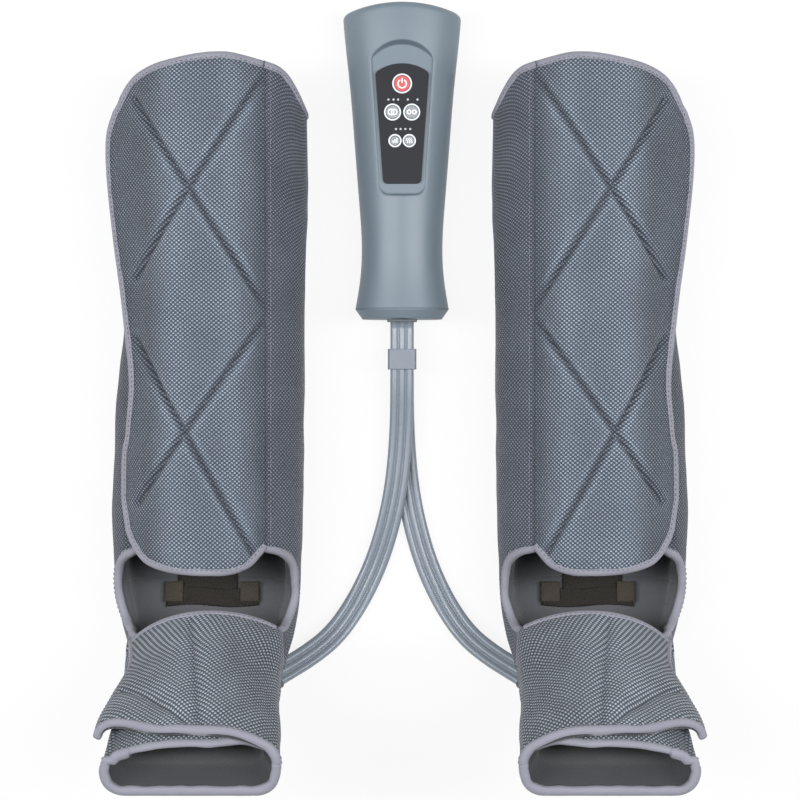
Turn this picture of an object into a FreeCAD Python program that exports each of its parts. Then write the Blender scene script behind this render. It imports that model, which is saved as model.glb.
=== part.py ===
import FreeCAD, Part
import math
import os
from FreeCAD import Rotation, Vector

os.makedirs("parts", exist_ok=True)

# Layout on the table, in millimetres: X across, Y towards the knees, Z up
LAYOUT_LENGTH = 531.0
WRAP_CENTRE = 134.0
CONTROLLER_SHIFT = 1.5
OVERRUN = 40.0
SEWN_GAP = 0.3
SWING_GAP = 0.4
TAPE_WIDTH = 4.5
TAPE_RISE = 0.8

# Rounded section of a wrap, as shares of its depth
LOWER_CORNER_SHARE = 0.37
UPPER_CORNER_SHARE = 0.33
SIDE_TOP_SHARE = 0.5

# Calf part, lying on its back
CALF_LENGTH = 363.0
CALF_HALF_WIDTH = 68.0
CALF_DEPTH = 98.0
CALF_OUTER_SHARES = (
    (0.0, 0.97), (0.165, 1.0), (0.38, 0.94), (0.51, 0.89), (0.66, 0.956), (0.82, 1.03), (1.04, 1.015),
)
CALF_MEDIAL_SHARES = (0.95, 1.015)
CALF_DEPTH_SHARES = (0.97, 1.04)
COVER_THICKNESS = 3.5
BLADDER_THICKNESS = 4.2
LINING_THICKNESS = 1.7
FLAP_THICKNESS = 8.0
UNDERLAP_THICKNESS = 4.0
SEAM_X = 42.0
FLAP_EDGE_HEIGHT = 44.0
FLAP_FAN_HEIGHT = 30.0
FLAP_EDGE_SHARES = (
    (0.19, 1.0), (-0.4, 0.983), (-0.836, 0.937), (-0.975, 0.84), (-0.972, 0.66), (-0.911, 0.504),
    (-0.814, 0.382), (-0.866, 0.256), (-0.86, 0.161), (-0.8, 0.097), (-0.554, 0.041), (0.2, 0.021),
    (0.5, 0.033),
)
SEAM_END_SHARES = (0.988, 0.048)
TOP_EDGE_SHARES = (
    (-1.15, 0.8), (-0.949, 0.9), (-0.853, 0.937), (-0.41, 0.983), (0.19, 1.0), (0.68, 0.983), (0.84, 0.964),
    (1.0, 0.91), (1.15, 0.83),
)
QUILT_LINE_SHARES = (
    ((-0.74, 0.92), (0.66, 0.512)), ((0.66, 0.977), (-0.74, 0.575)),
    ((-0.74, 0.47), (0.52, 0.05)), ((0.66, 0.516), (-0.71, 0.15)),
)
QUILT_WIDTH = 3.0
QUILT_DEPTH = 2.4
UNDERLAP_ROOT_X = 40.0
UNDERLAP_EDGE_X = 15.0
UNDERLAP_START = 34.0
UNDERLAP_END = 325.0
HOOK_WIDTH = 22.0
HOOK_THICKNESS = 1.2
LOOP_WIDTH = 44.0
LOOP_THICKNESS = 1.0
CLOSURE_MARGIN = 2.0
CLOSURE_START = 70.0
CLOSURE_END = 290.0
CELL_MARGIN = 8.0
CELL_SPLIT = 10.0
CELL_START = 34.0
CELL_END = 300.0

# Ankle and heel, turned about the front of the ankle
ANKLE_HEIGHT = 90.0
ANKLE_OPENING_RADIUS = 30.0
FOOT_LEAN = 16.0
HEEL_THICKNESS = 10.0
HEEL_STATION_SHARES = (0.0, 0.35, 0.7, 1.0)
HEEL_BAND_WIDTH = 18.0
HEEL_BAND_HALF_LENGTH = 33.0
HEEL_BAND_THICKNESS = 1.2
HEEL_BAND_START = 2.0

# Foot part, rising from the heel
FOOT_LENGTH = 140.0
FOOT_HEEL_HALF_WIDTH = 49.0
FOOT_TOE_HALF_WIDTH = 57.6
FOOT_HEEL_DEPTH = 86.0
FOOT_TOE_DEPTH = 42.0
FOOT_COVER_THICKNESS = 6.0
FOOT_BLADDER_THICKNESS = 4.0
FOOT_FLAP_THICKNESS = 6.0
FOOT_FLAP_START = 31.0
FOOT_EAR_DEPTH = 60.0
FOOT_FREE_EDGE_SHARE = 0.7
FOOT_UNDERLAP_ROOT_SHARE = 0.66
FOOT_UNDERLAP_EDGE_SHARE = 0.35

# Controller, lying on its flat back
CONTROLLER_LENGTH = 221.0
CONTROLLER_HALF_WIDTH = 41.6
CONTROLLER_DEPTH = 56.0
BACK_FLAT = 0.3
CONTROLLER_STATION_SHARES = (
    (0.031, 0.796, 0.965), (0.12, 0.72, 0.93), (0.22, 0.6875, 0.92), (0.377, 0.733, 0.94),
    (0.569, 0.8125, 0.96), (0.755, 0.894, 0.98), (0.954, 1.0, 1.0), (1.04, 1.02, 1.0),
)
END_CAP_BEVEL = 4.9
SHELL_WALL = 2.6
SHELL_PARTING = 26.0
TOP_ARCH = 7.0
TOP_FILLET = 4.5
PANEL_TOP = 50.0
PANEL_THICKNESS = 1.8
PANEL_START = 94.0
PANEL_END = 171.5
PANEL_HALF_START = 13.2
PANEL_HALF_END = 18.8
PANEL_ARCH = 6.7
PANEL_CORNER = 3.5
POCKET_START = 87.0
POCKET_END = 182.0
POCKET_HALF_START = 15.5
POCKET_HALF_END = 21.3
POCKET_ARCH = 9.7
POCKET_DRAFT = 2.5
POCKET_RISE = 8.0
POCKET_CORNER = 7.0
TUB_FLOOR = 2.0
BUTTON_FIT = 0.25
BUTTON_PROUD = 1.2
BUTTON_FLANGE = 0.9
BUTTON_FLANGE_HEIGHT = 1.2
BUTTON_SEAT = 0.1
RING_WIDTH = 1.1
RING_HEIGHT = 0.8
POWER_RADIUS = 5.6
MODE_RADIUS = 4.6
LEVEL_RADIUS = 3.3
POWER_PLACE = 164.0
MODE_PLACE = 144.0
LEVEL_PLACE = 124.0
MODE_SPREAD = 6.7
LEVEL_SPREAD = 5.0
LIGHT_RADIUS = 0.8
LIGHT_FIT = 0.15
LIGHT_PROUD = 0.2
UPPER_LIGHT_PLACE = 152.8
LOWER_LIGHT_PLACE = 132.2
UPPER_LIGHT_SHARES = (-0.51, -0.32, -0.15, 0.21, 0.57)
LOWER_LIGHT_SHARES = (-0.23, -0.06, 0.12, 0.3)
BOARD_TOP = 39.6
BOARD_THICKNESS = 1.6
BOARD_HALF_WIDTH = 17.0
BOARD_START = 100.0
BOARD_END = 178.0
BOARD_BOSS_RADIUS = 2.2
BOARD_BOSS_INSET = 3.0
SWITCH_SIDE = 6.0
SWITCH_HEIGHT = 3.5
SWITCH_STEM_RADIUS = 1.7
SWITCH_STEM_HEIGHT = 0.7
MOTOR_RADIUS = 12.0
MOTOR_START = 112.0
MOTOR_LENGTH = 34.0
SHAFT_RADIUS = 1.0
ECCENTRIC_RADIUS = 5.0
ECCENTRIC_OFFSET = 1.5
ECCENTRIC_LENGTH = 6.0
ECCENTRIC_GAP = 1.0
PUMP_LENGTH = 30.0
PUMP_HALF_WIDTH = 15.0
PUMP_HEIGHT = 27.0
PUMP_CHAMBER_RADIUS = 8.0
VALVE_COUNT = 3
VALVE_HALF_WIDTH = 8.0
VALVE_LENGTH = 13.0
VALVE_HEIGHT = 14.0
VALVE_PITCH = 15.0
VALVE_START = 58.0
VALVE_COIL_RADIUS = 5.0
VALVE_COIL_HEIGHT = 8.0
MANIFOLD_START = 24.0
MANIFOLD_LENGTH = 14.0
MANIFOLD_HALF_WIDTH = 9.0
MANIFOLD_HEIGHT = 20.0
BARB_RADIUS = 1.7
INLET_HEIGHT = 36.0
INLET_RADIUS = 5.0
INLET_BORE = 3.2
INLET_DEPTH = 11.0
INLET_LENGTH = 14.0
INLET_PIN_RADIUS = 1.05
UPPER_SCREW_X = 24.0
UPPER_SCREW_PLACE = 192.0
LOWER_SCREW_X = 17.5
LOWER_SCREW_PLACE = 48.0
SCREW_POST_RADIUS = 4.0
SCREW_RADIUS = 1.5
SCREW_HEAD_RADIUS = 2.8
SCREW_HEAD_HEIGHT = 2.0
SCREW_HEAD_DEPTH = 5.0
SCREW_REACH = 8.0

# Hose ribbons of three joined tubes, laid on the table
HOSE_DIAMETER = 5.8
HOSE_WEB_SHARE = 0.94
BEND_REACH_SHARE = 0.45
LEFT_OUTLET_HEIGHT = 18.2
RIGHT_OUTLET_HEIGHT = 12.0
GROMMET_HALF_WIDTH = 10.6
GROMMET_WALL = 2.2
GROMMET_PROUD = 1.5
GROMMET_CORNER = 2.0
CLIP_START = 21.0
CLIP_LENGTH = 14.5
CLIP_HALF_WIDTH = 10.2
CLIP_WALL = 2.0
CLIP_CORNER = 2.5
ENTRY_HALF_WIDTH = 11.0
ENTRY_HALF_HEIGHT = 5.2
ENTRY_LENGTH = 13.0
ENTRY_CORNER = 2.5
ENTRY_DEPTH = 5.4
ENTRY_TURN_SHARE = 0.663
ENTRY_ACROSS_SHARE = 0.968
HOSE_WAY_SHARES = {
    "left_hose": (
        (0.0, 0.154, 0.457), (0.006, 0.321, 0.274), (0.047, 0.475, 0.205), (0.122, 0.596, 0.142),
        (0.235, 0.714, 0.054), (0.398, 0.8235, 0.073), (0.584, 0.909, 0.303), (0.789, 0.961, 0.628),
    ),
    "right_hose": (
        (0.0, 0.154, 0.262), (0.006, 0.321, 0.073), (0.044, 0.475, 0.0065), (0.116, 0.596, 0.002),
        (0.226, 0.714, 0.0065), (0.3875, 0.8235, 0.066), (0.576, 0.909, 0.303), (0.784, 0.961, 0.628),
    ),
}

# Places that follow from the sizes
LEAN = math.radians(FOOT_LEAN)
HEEL_TURN = math.pi / 2 - LEAN
ANKLE_Y = -LAYOUT_LENGTH / 2 + (ANKLE_HEIGHT + TAPE_RISE) * math.cos(LEAN) + FOOT_LENGTH * math.sin(LEAN)
CONTROLLER_END = LAYOUT_LENGTH / 2 - CONTROLLER_LENGTH
HOSE_RADIUS = HOSE_DIAMETER / 2
HOSE_PITCH = HOSE_DIAMETER * HOSE_WEB_SHARE
LINING_START = COVER_THICKNESS + BLADDER_THICKNESS + 2 * SEWN_GAP
LINING_END = LINING_START + LINING_THICKNESS
UNDERLAP_LEVEL = FLAP_THICKNESS + SWING_GAP
FOOT_BLADDER_LEVEL = FOOT_COVER_THICKNESS + SEWN_GAP
FOOT_BLADDER_END = FOOT_BLADDER_LEVEL + FOOT_BLADDER_THICKNESS
FOOT_UNDERLAP_LEVEL = FOOT_FLAP_THICKNESS + SWING_GAP
POCKET_FLOOR = PANEL_TOP - PANEL_THICKNESS
TUB_BOTTOM = POCKET_FLOOR - TUB_FLOOR
END_CAP_LENGTH = CONTROLLER_STATION_SHARES[0][0] * CONTROLLER_LENGTH
BUTTONS = (
    ("power_button", 0.0, POWER_PLACE, POWER_RADIUS),
    ("combine_button", -MODE_SPREAD, MODE_PLACE, MODE_RADIUS),
    ("separate_button", MODE_SPREAD, MODE_PLACE, MODE_RADIUS),
    ("intensity_button", -LEVEL_SPREAD, LEVEL_PLACE, LEVEL_RADIUS),
    ("heat_button", LEVEL_SPREAD, LEVEL_PLACE, LEVEL_RADIUS),
)


def mix(low, high, share):
    return low + (high - low) * share


# Frames of the left wrap: across towards the middle, along the part, and off the floor or sole
def calf_point(across, along, depth):
    return Vector(across - WRAP_CENTRE, ANKLE_Y + along, depth)


def heel_point(across, turn, depth):
    reach = ANKLE_HEIGHT - depth
    back = reach * math.sin(turn)
    return Vector(across - WRAP_CENTRE, ANKLE_Y - back, ANKLE_HEIGHT - reach * math.cos(turn))


def foot_point(across, along, depth):
    forward = Vector(0, -math.sin(LEAN), math.cos(LEAN))
    return heel_point(across, HEEL_TURN, depth) + forward * along


def controller_point(across, along, height):
    return Vector(across + CONTROLLER_SHIFT, CONTROLLER_END + along, height)


# Rounded section with a flat back and a crowned front, drawn in by an inset
def arc_edge(place, centre, radius, start, end):
    angles = (start, (start + end) / 2, end)
    points = [place(centre[0] + radius * math.cos(a), centre[1] + radius * math.sin(a)) for a in angles]
    return Part.Arc(*points).toShape()


def line_edge(place, start, end):
    return Part.LineSegment(place(*start), place(*end)).toShape()


def crown_radius(half_width, depth):
    corner = UPPER_CORNER_SHARE * depth
    rise = depth - SIDE_TOP_SHARE * depth
    return ((half_width - corner) ** 2 + rise ** 2 - corner ** 2) / (2 * (rise - corner))


def crown_height(half_width, depth, across, inset):
    radius = crown_radius(half_width, depth)
    return depth - radius + math.sqrt((radius - inset) ** 2 - across ** 2)


def skin_height(half_width, depth, across):
    """Height of the section's upper skin, on its crown or on the rounded shoulder beside it."""
    corner = UPPER_CORNER_SHARE * depth
    side = SIDE_TOP_SHARE * depth
    radius = crown_radius(half_width, depth)
    lean = math.atan2(side - depth + radius, half_width - corner)
    if abs(across) <= radius * math.cos(lean):
        return crown_height(half_width, depth, across, 0)
    return side + math.sqrt(corner ** 2 - (abs(across) - half_width + corner) ** 2)


def section(place, outer, medial, depth, inset):
    low = LOWER_CORNER_SHARE * depth
    high = UPPER_CORNER_SHARE * depth
    side = SIDE_TOP_SHARE * depth
    crowns = [crown_radius(half, depth) for half in (outer, medial)]
    lean_out, lean_in = [
        math.atan2(side - depth + radius, half - high) for radius, half in zip(crowns, (outer, medial))
    ]
    edges = [
        line_edge(place, (low - outer, inset), (medial - low, inset)),
        arc_edge(place, (medial - low, low), low - inset, -math.pi / 2, 0),
        line_edge(place, (medial - inset, low), (medial - inset, side)),
        arc_edge(place, (medial - high, side), high - inset, 0, lean_in),
        arc_edge(place, (0, depth - crowns[1]), crowns[1] - inset, lean_in, math.pi / 2),
        arc_edge(place, (0, depth - crowns[0]), crowns[0] - inset, math.pi / 2, math.pi - lean_out),
        arc_edge(place, (high - outer, side), high - inset, math.pi - lean_out, math.pi),
        line_edge(place, (inset - outer, side), (inset - outer, low)),
        arc_edge(place, (low - outer, low), low - inset, math.pi, 3 * math.pi / 2),
    ]
    return Part.Wire(edges)


def trough(place, half_width, depth, top, inset):
    low = LOWER_CORNER_SHARE * depth
    edges = [
        line_edge(place, (low - half_width, inset), (half_width - low, inset)),
        arc_edge(place, (half_width - low, low), low - inset, -math.pi / 2, 0),
        line_edge(place, (half_width - inset, low), (half_width - inset, top)),
        line_edge(place, (half_width - inset, top), (inset - half_width, top)),
        line_edge(place, (inset - half_width, top), (inset - half_width, low)),
        arc_edge(place, (low - half_width, low), low - inset, math.pi, 3 * math.pi / 2),
    ]
    return Part.Wire(edges)


def placed(frame, along):
    return lambda across, depth: frame(across, along, depth)


# Full forms, from which the layers are cut
def calf_form(inset):
    wires = []
    for share, outer_share in CALF_OUTER_SHARES:
        outer = CALF_HALF_WIDTH * outer_share
        medial = CALF_HALF_WIDTH * mix(*CALF_MEDIAL_SHARES, share)
        depth = CALF_DEPTH * mix(*CALF_DEPTH_SHARES, share)
        wires.append(section(placed(calf_point, CALF_LENGTH * share), outer, medial, depth, inset))
    return Part.makeLoft(wires, True, False)


def heel_form(inset, top):
    wires = []
    calf_depth = CALF_DEPTH * CALF_DEPTH_SHARES[0]
    for share in HEEL_STATION_SHARES:
        half_width = heel_half_width(share)
        depth = mix(calf_depth, FOOT_HEEL_DEPTH, share)
        wires.append(trough(placed(heel_point, HEEL_TURN * share), half_width, depth, top, inset))
    return Part.makeLoft(wires, True, False)


def foot_size(along):
    share = along / FOOT_LENGTH
    half_width = mix(FOOT_HEEL_HALF_WIDTH, FOOT_TOE_HALF_WIDTH, share)
    return half_width, mix(FOOT_HEEL_DEPTH, FOOT_TOE_DEPTH, share)


def foot_form(inset):
    wires = []
    for along in (0, FOOT_LENGTH):
        half_width, depth = foot_size(along)
        wires.append(section(placed(foot_point, along), half_width, half_width, depth, inset))
    return Part.makeLoft(wires, True, True)


def layer(form, start, end):
    return form(start).cut(form(end))


# Cutters
def calf_block(across, along, depth):
    low = calf_point(across[0], along[0], depth[0])
    return Part.makeBox(across[1] - across[0], along[1] - along[0], depth[1] - depth[0], low)


def foot_block(across, along, low_edge, high_edge):
    corners = [*zip(along, low_edge), *zip(along[::-1], high_edge[::-1])]
    points = [foot_point(across[0], *corner) for corner in corners]
    face = Part.Face(Part.makePolygon(points + points[:1]))
    return face.extrude(Vector(across[1] - across[0], 0, 0))


def foot_level(share, along):
    return [share * foot_size(place)[1] for place in along]


def shifted(levels, offset):
    return [level + offset for level in levels]


def ankle_cylinder(radius):
    start = calf_point(-CALF_HALF_WIDTH - OVERRUN, 0, ANKLE_HEIGHT)
    return Part.makeCylinder(radius, 2 * (CALF_HALF_WIDTH + OVERRUN), start, Vector(1, 0, 0))


def calf_plan(shares):
    return [calf_point(x * CALF_HALF_WIDTH, y * CALF_LENGTH, 0) for x, y in shares]


def spline_edge(points, parameters=None):
    curve = Part.BSplineCurve()
    if parameters:
        curve.interpolate(Points=points, Parameters=parameters)
    else:
        curve.interpolate(points)
    return curve.toShape()


def outer_half_width(share):
    """Half width of the calf's outer side at a share of its length."""
    for (start, low), (end, high) in zip(CALF_OUTER_SHARES, CALF_OUTER_SHARES[1:]):
        if share <= end:
            return CALF_HALF_WIDTH * mix(low, high, (share - start) / (end - start))


def flap_outline(grow):
    """Points of the flap's free edge on the skin: across, along and height, grown or drawn in."""
    ends = [(SEAM_X / outer_half_width(share), share) for share in SEAM_END_SHARES]
    plan = []
    for across, share in [ends[0], *FLAP_EDGE_SHARES, ends[1]]:
        plan.append(Vector(across * outer_half_width(share), share * CALF_LENGTH, 0))
    points = []
    for number, point in enumerate(plan):
        run = plan[min(number + 1, len(plan) - 1)] - plan[max(number - 1, 0)]
        outward = Vector(-run.y, run.x, 0).normalize()
        share = point.y / CALF_LENGTH
        depth = CALF_DEPTH * mix(*CALF_DEPTH_SHARES, share)
        height = skin_height(outer_half_width(share), depth, point.x)
        points.append((point - outward * grow, height))
    return points


def flap_field(grow):
    """Space over the flap's outline, its walls fanning out square to the skin, running past the seam."""
    outline = flap_outline(grow)
    steps = [(end[0] - start[0]).Length for start, end in zip(outline, outline[1:])]
    parameters = [sum(steps[:count]) / sum(steps) for count in range(len(outline))]
    past_seam = Vector(CALF_HALF_WIDTH + OVERRUN, 0, 0)
    wires = []
    for level in (FLAP_EDGE_HEIGHT, CALF_DEPTH + FLAP_THICKNESS):
        points = []
        for plan, height in outline:
            fan = (level - FLAP_FAN_HEIGHT) / (height - FLAP_FAN_HEIGHT)
            points.append(calf_point(plan.x * fan, plan.y, level))
        corners = [points[-1] + past_seam, points[0] + past_seam]
        wires.append(Part.Wire([
            spline_edge(points, parameters),
            Part.LineSegment(points[-1], corners[0]).toShape(),
            Part.LineSegment(*corners).toShape(),
            Part.LineSegment(corners[1], points[0]).toShape(),
        ]))
    return Part.makeLoft(wires, True, True)


def seam_side(inner, gap):
    """Everything on the flap's side of the seam, or on the side panel's."""
    edge = SEAM_X + gap
    across = (edge, CALF_HALF_WIDTH + OVERRUN) if inner else (-CALF_HALF_WIDTH - OVERRUN, edge)
    return calf_block(across, (-OVERRUN, CALF_LENGTH + OVERRUN), (-OVERRUN, CALF_DEPTH + OVERRUN))


def top_field(drop):
    """Everything below the calf part's rounded top edge, lowered by a drop."""
    points = [point - Vector(0, drop, OVERRUN) for point in calf_plan(TOP_EDGE_SHARES)]
    corners = [Vector(end.x, ANKLE_Y, end.z) for end in (points[-1], points[0])]
    edges = [
        spline_edge(points),
        Part.LineSegment(points[-1], corners[0]).toShape(),
        Part.LineSegment(*corners).toShape(),
        Part.LineSegment(corners[1], points[0]).toShape(),
    ]
    return Part.Face(Part.Wire(edges)).extrude(Vector(0, 0, CALF_DEPTH + 3 * OVERRUN))


# Pieces of the left wrap
def calf_pieces():
    flap_side = seam_side(False, 0)
    panel_side = seam_side(False, SWING_GAP)
    front = flap_field(SWING_GAP).common(panel_side)
    whole = top_field(0)
    opening = ankle_cylinder(ANKLE_OPENING_RADIUS)

    cover = layer(calf_form, 0, COVER_THICKNESS).common(whole).cut(front).cut(opening)
    cover = max(cover.Solids, key=lambda solid: solid.Volume)

    wide = (-CALF_HALF_WIDTH - OVERRUN, CALF_HALF_WIDTH + OVERRUN)
    high = (-OVERRUN, CALF_DEPTH + OVERRUN)
    cells = calf_block(wide, (CELL_START, CELL_END), high)
    middle = (CELL_START + CELL_END) / 2
    split = calf_block(wide, (middle - CELL_SPLIT / 2, middle + CELL_SPLIT / 2), high)
    cell_front = flap_field(CELL_MARGIN).common(seam_side(False, CELL_MARGIN))
    bladder_start = COVER_THICKNESS + SEWN_GAP
    bladder = layer(calf_form, bladder_start, bladder_start + BLADDER_THICKNESS).common(cells).cut(split)
    bladder = bladder.common(top_field(CELL_MARGIN)).cut(cell_front)

    front_high = (FLAP_EDGE_HEIGHT, CALF_DEPTH + OVERRUN)
    lining_front = calf_block(
        (-UNDERLAP_ROOT_X - SEWN_GAP, SEAM_X + SWING_GAP), (-OVERRUN, CALF_LENGTH + OVERRUN), front_high)
    lining = layer(calf_form, LINING_START, LINING_END).common(top_field(TAPE_WIDTH))
    lining = lining.cut(lining_front).cut(opening)

    closure_span = (CLOSURE_START, CLOSURE_END)
    closure_x = CLOSURE_MARGIN - UNDERLAP_ROOT_X
    hook = layer(calf_form, FLAP_THICKNESS - HOOK_THICKNESS, FLAP_THICKNESS).common(
        calf_block((closure_x, closure_x + HOOK_WIDTH), closure_span, front_high))
    loop = layer(calf_form, UNDERLAP_LEVEL, UNDERLAP_LEVEL + LOOP_THICKNESS).common(
        calf_block((closure_x, closure_x + LOOP_WIDTH), closure_span, front_high))

    field = flap_field(-TAPE_WIDTH).common(flap_side)
    flap = layer(calf_form, 0, FLAP_THICKNESS).common(field).cut(hook)
    for channel in quilt_channels():
        flap = flap.cut(channel)
    band = flap_field(0).common(flap_side).cut(field)
    binding = layer(calf_form, -TAPE_RISE, FLAP_THICKNESS).common(band)

    underlap = layer(calf_form, UNDERLAP_LEVEL, UNDERLAP_LEVEL + UNDERLAP_THICKNESS).common(
        calf_block((-UNDERLAP_ROOT_X, UNDERLAP_EDGE_X), (UNDERLAP_START, UNDERLAP_END), front_high))
    return {
        "calf_cover": cover, "calf_bladder": bladder, "calf_lining": lining, "calf_flap": flap,
        "calf_flap_binding": binding, "calf_underlap": underlap.cut(loop), "calf_hook_strip": hook,
        "calf_loop_patch": loop,
    }


def quilt_channels():
    skin = layer(calf_form, 0, QUILT_DEPTH)
    channels = []
    for shares in QUILT_LINE_SHARES:
        start, end = calf_plan(shares)
        run = end - start
        slab = Part.makeBox(run.Length, QUILT_WIDTH, CALF_DEPTH, Vector(0, -QUILT_WIDTH / 2, 0))
        slab.rotate(Vector(0, 0, 0), Vector(0, 0, 1), math.degrees(math.atan2(run.y, run.x)))
        slab.translate(start + Vector(0, 0, FLAP_EDGE_HEIGHT))
        channels.append(skin.common(slab))
    return channels


def heel_pieces():
    top = ANKLE_HEIGHT - ANKLE_OPENING_RADIUS
    over_top = top + ANKLE_OPENING_RADIUS / 2
    cup = heel_form(0, top).cut(heel_form(HEEL_THICKNESS, over_top))
    seat = HEEL_THICKNESS + SEWN_GAP
    band = heel_form(seat, top).cut(heel_form(seat + HEEL_BAND_THICKNESS, over_top))
    strip = calf_block(
        (-HEEL_BAND_HALF_LENGTH, HEEL_BAND_HALF_LENGTH),
        (-HEEL_BAND_START - HEEL_BAND_WIDTH, -HEEL_BAND_START), (0, top / 2))
    return {"heel_cup": cup, "heel_band": band.common(strip), "ankle_binding": ankle_binding()}


def ankle_binding():
    """Tape round the ankle opening: on the calf's sides, the heel's sides and the foot's ears."""
    ring = ankle_cylinder(ANKLE_OPENING_RADIUS).cut(ankle_cylinder(ANKLE_OPENING_RADIUS - TAPE_WIDTH))
    front = flap_field(SWING_GAP).common(seam_side(False, SWING_GAP + 2 * TAPE_RISE))
    calf_tape = layer(calf_form, -TAPE_RISE, LINING_END).common(ring).cut(front)
    top = ANKLE_HEIGHT - ANKLE_OPENING_RADIUS + TAPE_WIDTH
    heel_tape = heel_form(-TAPE_RISE, top).cut(heel_form(HEEL_THICKNESS, top + TAPE_WIDTH)).common(ring)
    foot_tape = layer(foot_form, -TAPE_RISE, FOOT_BLADDER_END).common(ring).common(foot_ears(SEWN_GAP))
    return calf_tape.fuse([heel_tape, foot_tape]).removeSplitter()


def foot_ears(gap):
    """Space of the foot's sides beside the ankle opening, above the flap's hinge line."""
    along = (0, FOOT_FLAP_START - SWING_GAP - gap)
    wide = FOOT_TOE_HALF_WIDTH + OVERRUN
    return foot_block((-wide, wide), along, (0, 0), (FOOT_EAR_DEPTH, FOOT_EAR_DEPTH))


def foot_pieces():
    wide = FOOT_TOE_HALF_WIDTH + OVERRUN
    ends = (0, FOOT_LENGTH)
    opening = ankle_cylinder(ANKLE_OPENING_RADIUS)
    hinge = foot_level(SIDE_TOP_SHARE, ends)
    free = foot_level(FOOT_FREE_EDGE_SHARE, ends)
    above = [FOOT_HEEL_DEPTH + OVERRUN] * 2
    floor = [-OVERRUN] * 2

    sides = foot_block((0, wide), ends, floor, hinge).fuse([
        foot_block((-wide, 0), ends, floor, shifted(free, -SWING_GAP)), foot_ears(0)])
    toe_start = FOOT_LENGTH - TAPE_WIDTH
    toe_band = foot_block((-wide, wide), (toe_start, FOOT_LENGTH), floor, above)
    skin = layer(foot_form, 0, FOOT_COVER_THICKNESS).common(sides).cut(opening)
    cover = skin.cut(toe_band)
    tape = layer(foot_form, -TAPE_RISE, FOOT_COVER_THICKNESS).common(sides).common(toe_band)

    inner_top = shifted(foot_level(SIDE_TOP_SHARE, (0, toe_start)), -SEWN_GAP)
    cushion = foot_block((0, wide), (0, toe_start), floor, inner_top)
    root = [-FOOT_UNDERLAP_ROOT_SHARE * foot_size(place)[0] for place in ends]
    outer_root = foot_wedge(-wide, root, ends, SEWN_GAP)
    cushion = cushion.fuse([outer_root, foot_block((-wide, 0), ends, floor, shifted(hinge, -SEWN_GAP))])
    clear_toe = foot_block((-wide, wide), (0, toe_start), floor, above)
    bladder = layer(foot_form, FOOT_BLADDER_LEVEL, FOOT_BLADDER_END).common(cushion)
    bladder = bladder.common(clear_toe).cut(opening)
    ear_span = (0, FOOT_FLAP_START)
    ear_level = foot_level(FOOT_FREE_EDGE_SHARE, ear_span)
    bladder = bladder.cut(foot_block((-wide, wide), ear_span, ear_level, above))

    span = (FOOT_FLAP_START, FOOT_LENGTH - TAPE_WIDTH)
    reach = foot_block((0, wide), span, shifted(foot_level(SIDE_TOP_SHARE, span), SWING_GAP), above).fuse(
        foot_block((-wide, 0), span, foot_level(FOOT_FREE_EDGE_SHARE, span), above))
    inner_span = (span[0] + TAPE_WIDTH, span[1] - TAPE_WIDTH)
    inner_reach = foot_block((0, wide), inner_span, floor, above).fuse(foot_block(
        (-wide, 0), inner_span, shifted(foot_level(FOOT_FREE_EDGE_SHARE, inner_span), TAPE_WIDTH), above))
    flap = layer(foot_form, 0, FOOT_FLAP_THICKNESS).common(reach)
    binding = layer(foot_form, -TAPE_RISE, FOOT_FLAP_THICKNESS).common(reach).cut(inner_reach)
    flap = flap.common(inner_reach)

    lap_edge = [FOOT_UNDERLAP_EDGE_SHARE * foot_size(place)[0] for place in ends]
    lap = layer(foot_form, FOOT_UNDERLAP_LEVEL, FOOT_UNDERLAP_LEVEL + FOOT_BLADDER_THICKNESS)
    lap = lap.cut(foot_wedge(-wide, root, ends, 0)).common(foot_wedge(-wide, lap_edge, ends, 0))
    lap = lap.common(foot_block((-wide, wide), (FOOT_FLAP_START, FOOT_LENGTH), hinge, above))
    return {
        "foot_cover": cover, "foot_bladder": bladder, "foot_flap": flap, "foot_flap_binding": binding,
        "foot_underlap": lap, "toe_binding": tape,
    }


def foot_wedge(start, edge, along, gap):
    """Everything above the hinge line from a start across to a slanting edge."""
    low = [SIDE_TOP_SHARE * foot_size(place)[1] - 2 * SEWN_GAP for place in along]
    corners = [(start, along[0], low[0]), (edge[0] - gap, along[0], low[0]),
               (edge[1] - gap, along[1], low[1]), (start, along[1], low[1])]
    points = [foot_point(*corner) for corner in corners]
    up = foot_point(0, 0, FOOT_HEEL_DEPTH + OVERRUN) - foot_point(0, 0, 0)
    return Part.Face(Part.makePolygon(points + points[:1])).extrude(up)


# Hoses
def heel_half_width(share):
    return mix(CALF_HALF_WIDTH * CALF_MEDIAL_SHARES[0], FOOT_HEEL_HALF_WIDTH, share)


def hose_route(name):
    """Points of a ribbon's middle line, from its outlet on the controller to its entry on the heel."""
    left = name == "left_hose"
    outlet = LEFT_OUTLET_HEIGHT if left else RIGHT_OUTLET_HEIGHT
    start = controller_point(0, -GROMMET_PROUD, outlet)
    across = ENTRY_ACROSS_SHARE * heel_half_width(ENTRY_TURN_SHARE)
    end = heel_point(across, HEEL_TURN * ENTRY_TURN_SHARE, ENTRY_DEPTH)
    if not left:
        end.x = -end.x
    points = [start]
    for across_share, along_share, rise_share in HOSE_WAY_SHARES[name]:
        points.append(Vector(
            mix(start.x, end.x, across_share), mix(start.y, end.y, along_share),
            mix(HOSE_RADIUS, end.z, rise_share)))
    return points + [end]


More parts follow.
